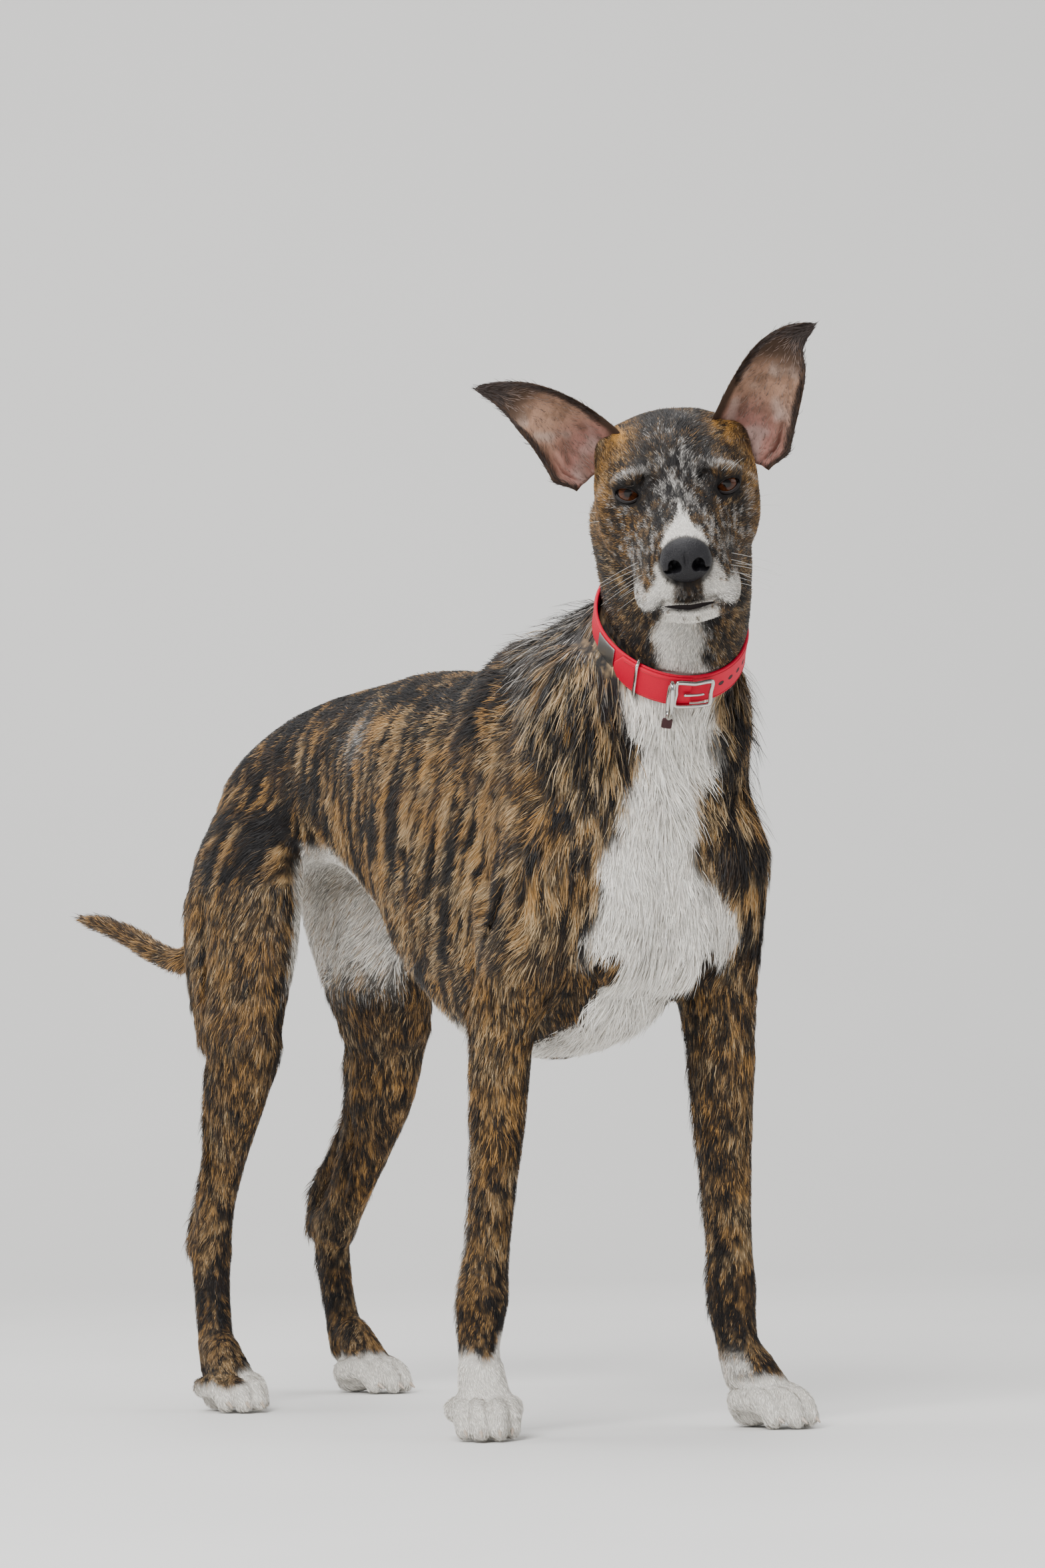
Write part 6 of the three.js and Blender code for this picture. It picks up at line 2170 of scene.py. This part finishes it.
@dataclass
class Collar:
    """The red strap with its buckle, keeper, ring, blank plate and tag."""

    form: Sculpture
    width: float = 31.0
    thick: float = 3.2
    sink: float = 1.5
    gap: float = 0.3
    tongue: Numbers = (-33, 23)
    plate: Numbers = (-59, -36)
    plate_half: float = 14.0
    keeper_at: float = -12.5
    buckle: Numbers = (14, 34)
    prong: Numbers = (18.5, 30)
    ring_at: float = 10
    ring_reach: Numbers = (9, 19)
    tag_half: Numbers = (4.5, 5.5)
    holes: Numbers = (44, 52, 60, 68)
    hole_radius: float = 2.1
    frame: Place = field(init=False)
    table: Array = field(init=False)

    def __post_init__(self) -> None:
        """Measures the neck under the strap."""
        n, f = unit(np.array(COLLAR_NORMAL)), np.array(COLLAR_FRONT)
        f = unit(f - n * (f @ n))
        self.frame = Place(np.array(COLLAR_AT), np.stack([f, np.cross(n, f), n], 1))
        angles = np.arange(40) * 2 * math.pi / 40
        reach = np.arange(30, 140, 0.5)
        ray = np.stack(
            [np.cos(angles)[:, None] * reach, np.sin(angles)[:, None] * reach, 0 * angles[:, None] * reach],
            -1
        )
        value = self.form.at(self.frame.world(ray.reshape(-1, 3))).reshape(40, -1)
        first = np.argmax(value > 0, 1)
        self.table = sum(np.roll(reach[first], k) for k in (-2, -1, 0, 1, 2)) / 5

    def radius(self, degrees: Array) -> Array:
        """Radius of the neck at angles from the front."""
        return np.interp(degrees % 360, np.arange(41) * 9, np.append(self.table, self.table[0]))

    def on(self, degrees: Array | float, out: Array | float, height: Array | float) -> Array:
        """Points on the collar.

        Args:
            degrees: round the neck from the front.
            out: height over the strap's inner side.
            height: along the neck.

        Returns:
            Points in the dog's frame.
        """
        degrees, out, height = np.broadcast_arrays(np.asarray(degrees, float), out, height)
        r = self.radius(degrees) - self.sink + out
        a = np.radians(degrees)
        return self.frame.world(np.stack([np.cos(a) * r, np.sin(a) * r, height], -1))

    def band(
        self, start: float, stop: float, steps: int, inner: float, outer: float, half: Array, closed: bool
    ) -> Surface:
        """A strap with rounded edges.

        Args:
            start: first angle.
            stop: last angle.
            steps: stretches along it.
            inner: height of its inner side.
            outer: height of its outer side.
            half: half width at each ring.
            closed: runs round the whole neck.

        Returns:
            The mesh.
        """
        count = steps if closed else steps + 1
        angle = np.linspace(start, stop, steps + 1)[:count]
        middle, tall = (inner + outer) / 2, (outer - inner) / 2
        sides = 28
        a = np.linspace(0, 2 * math.pi, sides, endpoint=False)
        across = np.sign(np.cos(a)) * np.abs(np.cos(a)) ** 0.22
        out = np.sign(np.sin(a)) * np.abs(np.sin(a)) ** 0.35
        half = np.broadcast_to(half, (count,))
        points = self.on(angle[:, None], middle + tall * out[None], across[None] * half[:, None])
        return lofted(points, closed)

    def build(self, bench: Bench) -> None:
        """Makes every piece of the collar.

        Args:
            bench: makes the pieces.
        """
        half, top = self.width / 2, self.thick + self.gap
        strap = bench.piece("strap", self.band(0, 360, 180, 0, self.thick, half, True), RED, "strap")
        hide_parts("collar_strap")
        steps = 70
        t = np.linspace(0, 1, steps + 1)
        nib = np.minimum(half, 4 + (half - 4) * np.minimum(t * 8, 1))
        tongue = bench.piece(
            "strap_end", self.band(*self.tongue, steps, top, top + self.thick, nib, False), RED, "strap"
        )
        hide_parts("collar_tongue")
        plate = bench.piece(
            "name_plate", self.band(*self.plate, 24, top, top + 1.2, self.plate_half, False), STEEL,
            "buckle_metal"
        )
        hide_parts("collar_plate")
        rise = top + self.thick + self.gap
        self.fittings(bench, half, rise)
        self.trim(bench, half, top)

    def wire(
        self, bench: Bench, name: str, node: str, points: Array, radius: float, count: int = 120
    ) -> None:
        """A closed wire fitting in place of its solid."""
        piece = bench.piece(
            name, tube(smooth_loop(points, count), radius, 14, closed=True), NICKEL, "buckle_metal"
        )
        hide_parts(node)

    def fittings(self, bench: Bench, half: float, rise: float) -> None:
        """Keeper, buckle, prong, ring and tag.

        Args:
            bench: makes the pieces.
            half: half the strap's width.
            rise: height over the strap's inner side.
        """
        w = 1.5
        low, high, h = -w - self.gap, rise + w, half + w + self.gap
        loop = [(low, -h), (high, -h), (high, 0), (high, h), (low, h), (low, 0)]
        self.wire(
            bench, "keeper", "collar_keeper", np.array([self.on(self.keeper_at, o, z) for o, z in loop]), w
        )
        w = 1.9
        out, h = rise + w + 0.4, half - 2.2
        near, far = self.buckle
        middle = (near + far) / 2
        loop = [(near, -h), (middle, -h), (far, -h), (far, 0), (far, h), (middle, h), (near, h), (near, 0)]
        self.wire(bench, "buckle", "collar_buckle", np.array([self.on(d, out, z) for d, z in loop]), w)
        pin = tube(self.on(np.linspace(*self.prong, 12), out, 0), np.linspace(1.5, 1.1, 12), 12)
        prong = bench.piece("prong", pin, NICKEL, "buckle_metal")
        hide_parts("collar_prong")
        a = np.linspace(0, 2 * math.pi, 36, endpoint=False)
        deep, tall = self.ring_reach
        w = 2.1
        ring = self.on(self.ring_at, rise + w + deep + np.cos(a) * deep, np.sin(a) * tall)
        self.wire(bench, "ring", "collar_ring", ring, w)
        self.tag(bench, rise + w + deep, -tall - w - 0.4)

    def tag(self, bench: Bench, out: float, top: float) -> None:
        """The small tag under the ring.

        Args:
            bench: makes the piece.
            out: its height over the strap's inner side.
            top: where it starts along the neck.
        """
        a = np.linspace(0, 2 * math.pi, 56, endpoint=False)
        wave = np.stack([np.cos(a), np.sin(a)], 1)
        outline = np.sign(wave) * np.abs(wave) ** 0.3 * np.array(self.tag_half)
        centre = self.frame.local(self.on(self.ring_at, out, top - self.tag_half[1])[None])[0]
        rings = []
        for x, share in zip((-1, -0.85, -0.4, 0.4, 0.85, 1), (0.86, 0.97, 1, 1, 0.97, 0.86)):
            rings.append(centre + np.column_stack([np.full(len(outline), x), outline * share]))
        skin = lofted(self.frame.world(np.array(rings)))
        tag = bench.piece("tag", Surface(skin.points, skin.faces[:, [0, 3, 2, 1]]), TAG_AND_HOLE_SHADE, "strap")
        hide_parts("collar_tag")

    def trim(self, bench: Bench, half: float, top: float) -> None:
        """Pressed edge lines of the strap and its holes.

        Args:
            bench: makes the pieces.
            half: half the strap's width.
            top: height of the loose end's inner side.
        """
        lines = []
        for start, stop, count, rise in ((25, 322, 260, 0.05), (-24, 22, 70, top + 0.05)):
            for z in (2.4 - half, half - 2.4):
                lines.append(tube(self.on(np.linspace(start, stop, count), self.thick + rise, z), 0.32, 6))
        bench.piece("strap_lines", joined(lines), THREAD, "strap")
        # Each hole is a raised rim round a dark disc at the strap's face: painted shade stands in for the
        # open hole.
        holes = []
        for d in self.holes:
            a = np.linspace(0, 2 * math.pi, 20, endpoint=False)
            r = math.degrees(self.hole_radius / 65)
            rings = [
                self.on(d + r * s * np.cos(a), self.thick + o, self.hole_radius * s * np.sin(a)) for s,
                o in ((1.15, -0.25), (1.1, 0.12), (0.9, 0.12), (0.86, -0.3))
            ]
            points = np.concatenate(rings)
            faces = ring_faces(len(rings), 20)[:, [0, 3, 2, 1]]
            centre = self.on(d, self.thick + 0.03, 0)[None]
            inner = self.on(d + r * 0.93 * np.cos(a), self.thick + 0.03, self.hole_radius * 0.93 * np.sin(a))
            k = len(points)
            fan = np.stack(
                [np.arange(20) + k, (np.arange(20) + 1) % 20 + k, np.full(20, k + 20), np.full(20, k + 20)],
                1
            )
            holes.append(Surface(np.concatenate([points, inner, centre]), np.concatenate([faces, fan])))
        bench.piece("strap_holes", joined(holes), TAG_AND_HOLE_SHADE, "strap")


@dataclass(frozen=True)
class Studio:
    """Pale floor, soft lights and the camera of the picture."""

    eye: Numbers = (-2556.4, -4491.6, 356.4)
    azimuth: float = -30.435
    rise: float = 365 / 8400
    roll: float = 1.35
    lens: float = 8400 * 36 / 2353

    def build(self, bench: Bench) -> None:
        """Makes floor, lights and camera.

        Args:
            bench: makes the pieces.
        """
        self.floor(bench)
        self.light("key", (-3.0, -2.6, 3.4), 2.4, 300)
        self.light("fill", (3.2, -3.0, 2.2), 3.6, 60)
        self.light("top", (0.2, 0.6, 4.2), 3.0, 130)
        self.light("rim", (-2.2, 3.2, 2.2), 2.4, 60)
        world = bpy.data.worlds.new("studio")
        bpy.context.scene.world = world
        world.use_nodes = True
        world.node_tree.nodes["Background"].inputs["Color"].default_value = (0.88, 0.9, 0.93, 1)
        world.node_tree.nodes["Background"].inputs["Strength"].default_value = 0.36
        self.camera(bench)

    def floor(self, bench: Bench) -> None:
        """A pale sweep that rises behind the dog.

        Args:
            bench: makes the pieces.
        """
        way = np.array([-math.sin(math.radians(self.azimuth)), math.cos(math.radians(self.azimuth)), 0])
        side = np.array([way[1], -way[0], 0])
        run = [(-5.5, 0), (2.6, 0)]
        for a in np.linspace(0, math.pi / 2, 14)[1:]:
            run.append((2.6 + 1.6 * math.sin(a), 1.6 * (1 - math.cos(a))))
        run.append((4.2, 6.0))
        points = [[way * y + side * x + np.array([0, 0, z]) for x in (-7.0, 7.0)] for y, z in run]
        points = np.array(points).reshape(-1, 3)
        k = np.arange(len(run) - 1) * 2
        mesh = bpy.data.meshes.new("floor")
        mesh.from_pydata([tuple(p) for p in points], [], [(a, a + 1, a + 3, a + 2) for a in k.tolist()])
        mesh.polygons.foreach_set("use_smooth", np.ones(len(mesh.polygons), bool))
        mesh.materials.append(bench.finish(FLOOR))
        floor = bpy.data.objects.new("floor", mesh)
        bpy.context.scene.collection.objects.link(floor)

    @staticmethod
    def light(name: str, at: Numbers, size: float, power: float) -> None:
        """A square soft light aimed at the dog.

        Args:
            name: its name.
            at: its place in metres.
            size: its edge in metres.
            power: its strength in watts.
        """
        lamp = bpy.data.lights.new(name, "AREA")
        lamp.size, lamp.energy = size, power
        holder = bpy.data.objects.new(name, lamp)
        bpy.context.scene.collection.objects.link(holder)
        z = unit(np.array(at) - np.array([0, 0, 0.5]))
        x = unit(np.cross((0, 0, 1.0), z))
        holder.matrix_world = Studio.matrix(x, np.cross(z, x), z, np.array(at))

    @staticmethod
    def matrix(x: Array, y: Array, z: Array, at: Array) -> Matrix:
        """An object matrix from axes and a place."""
        m = np.eye(4)
        m[:3, :3] = np.stack([x, y, z], 1)
        m[:3, 3] = at
        return Matrix(m.tolist())

    def camera(self, bench: Bench) -> None:
        """The camera at the picture's viewing angle.

        Args:
            bench: makes the pieces.
        """
        az, pitch, roll = math.radians(self.azimuth), math.atan(self.rise), math.radians(self.roll)
        d = np.array([-math.sin(az), math.cos(az), 0])
        r = np.array([math.cos(az), math.sin(az), 0])
        u = np.array([0, 0, 1.0])
        ahead = d * math.cos(pitch) + u * math.sin(pitch)
        up = u * math.cos(pitch) - d * math.sin(pitch)
        right = r * math.cos(roll) - up * math.sin(roll)
        top = up * math.cos(roll) + r * math.sin(roll)
        data = bpy.data.cameras.new("camera")
        data.lens, data.sensor_width, data.clip_end = self.lens, 36.0, 60.0
        data.sensor_fit = "AUTO"
        holder = bpy.data.objects.new("camera", data)
        bpy.context.scene.collection.objects.link(holder)
        holder.matrix_world = self.matrix(right, top, -ahead, bench.metres(np.array(self.eye)))
        bpy.context.scene.camera = holder


def dress_claws(frame: dict, bench: Bench) -> None:
    """Gives the claws their horn."""
    for name, node in frame["nodes"].items():
        if name.startswith("claw_"):
            for slot in node.material_slots:
                slot.material = bench.finish(HORN)


def frame_shift() -> Array:
    """The way from the dog's own frame to the shared one, in millimetres."""
    low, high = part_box("eye_left")
    middle = (np.array(low) + np.array(high)) / 2 / MM
    return middle - HEAD.world([(EYE_AT[0], EYE_AT[1], EYE_AT[2])])[0]


def main() -> None:
    """Builds the dressed dog and its studio."""
    logging.basicConfig(level=logging.INFO, format="%(name)s %(message)s")
    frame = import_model()
    bench = Bench(frame_shift())
    LOG.info("shift %s", bench.shift)
    Studio().build(bench)
    dog = Dog()
    skin = Skin(dog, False)
    skin.build(bench)
    collar = Collar(dog.form)
    Coat(skin, collar).build(bench)
    Face().build(bench)
    collar.build(bench)
    dress_claws(frame, bench)


if __name__ == "__main__":
    main()
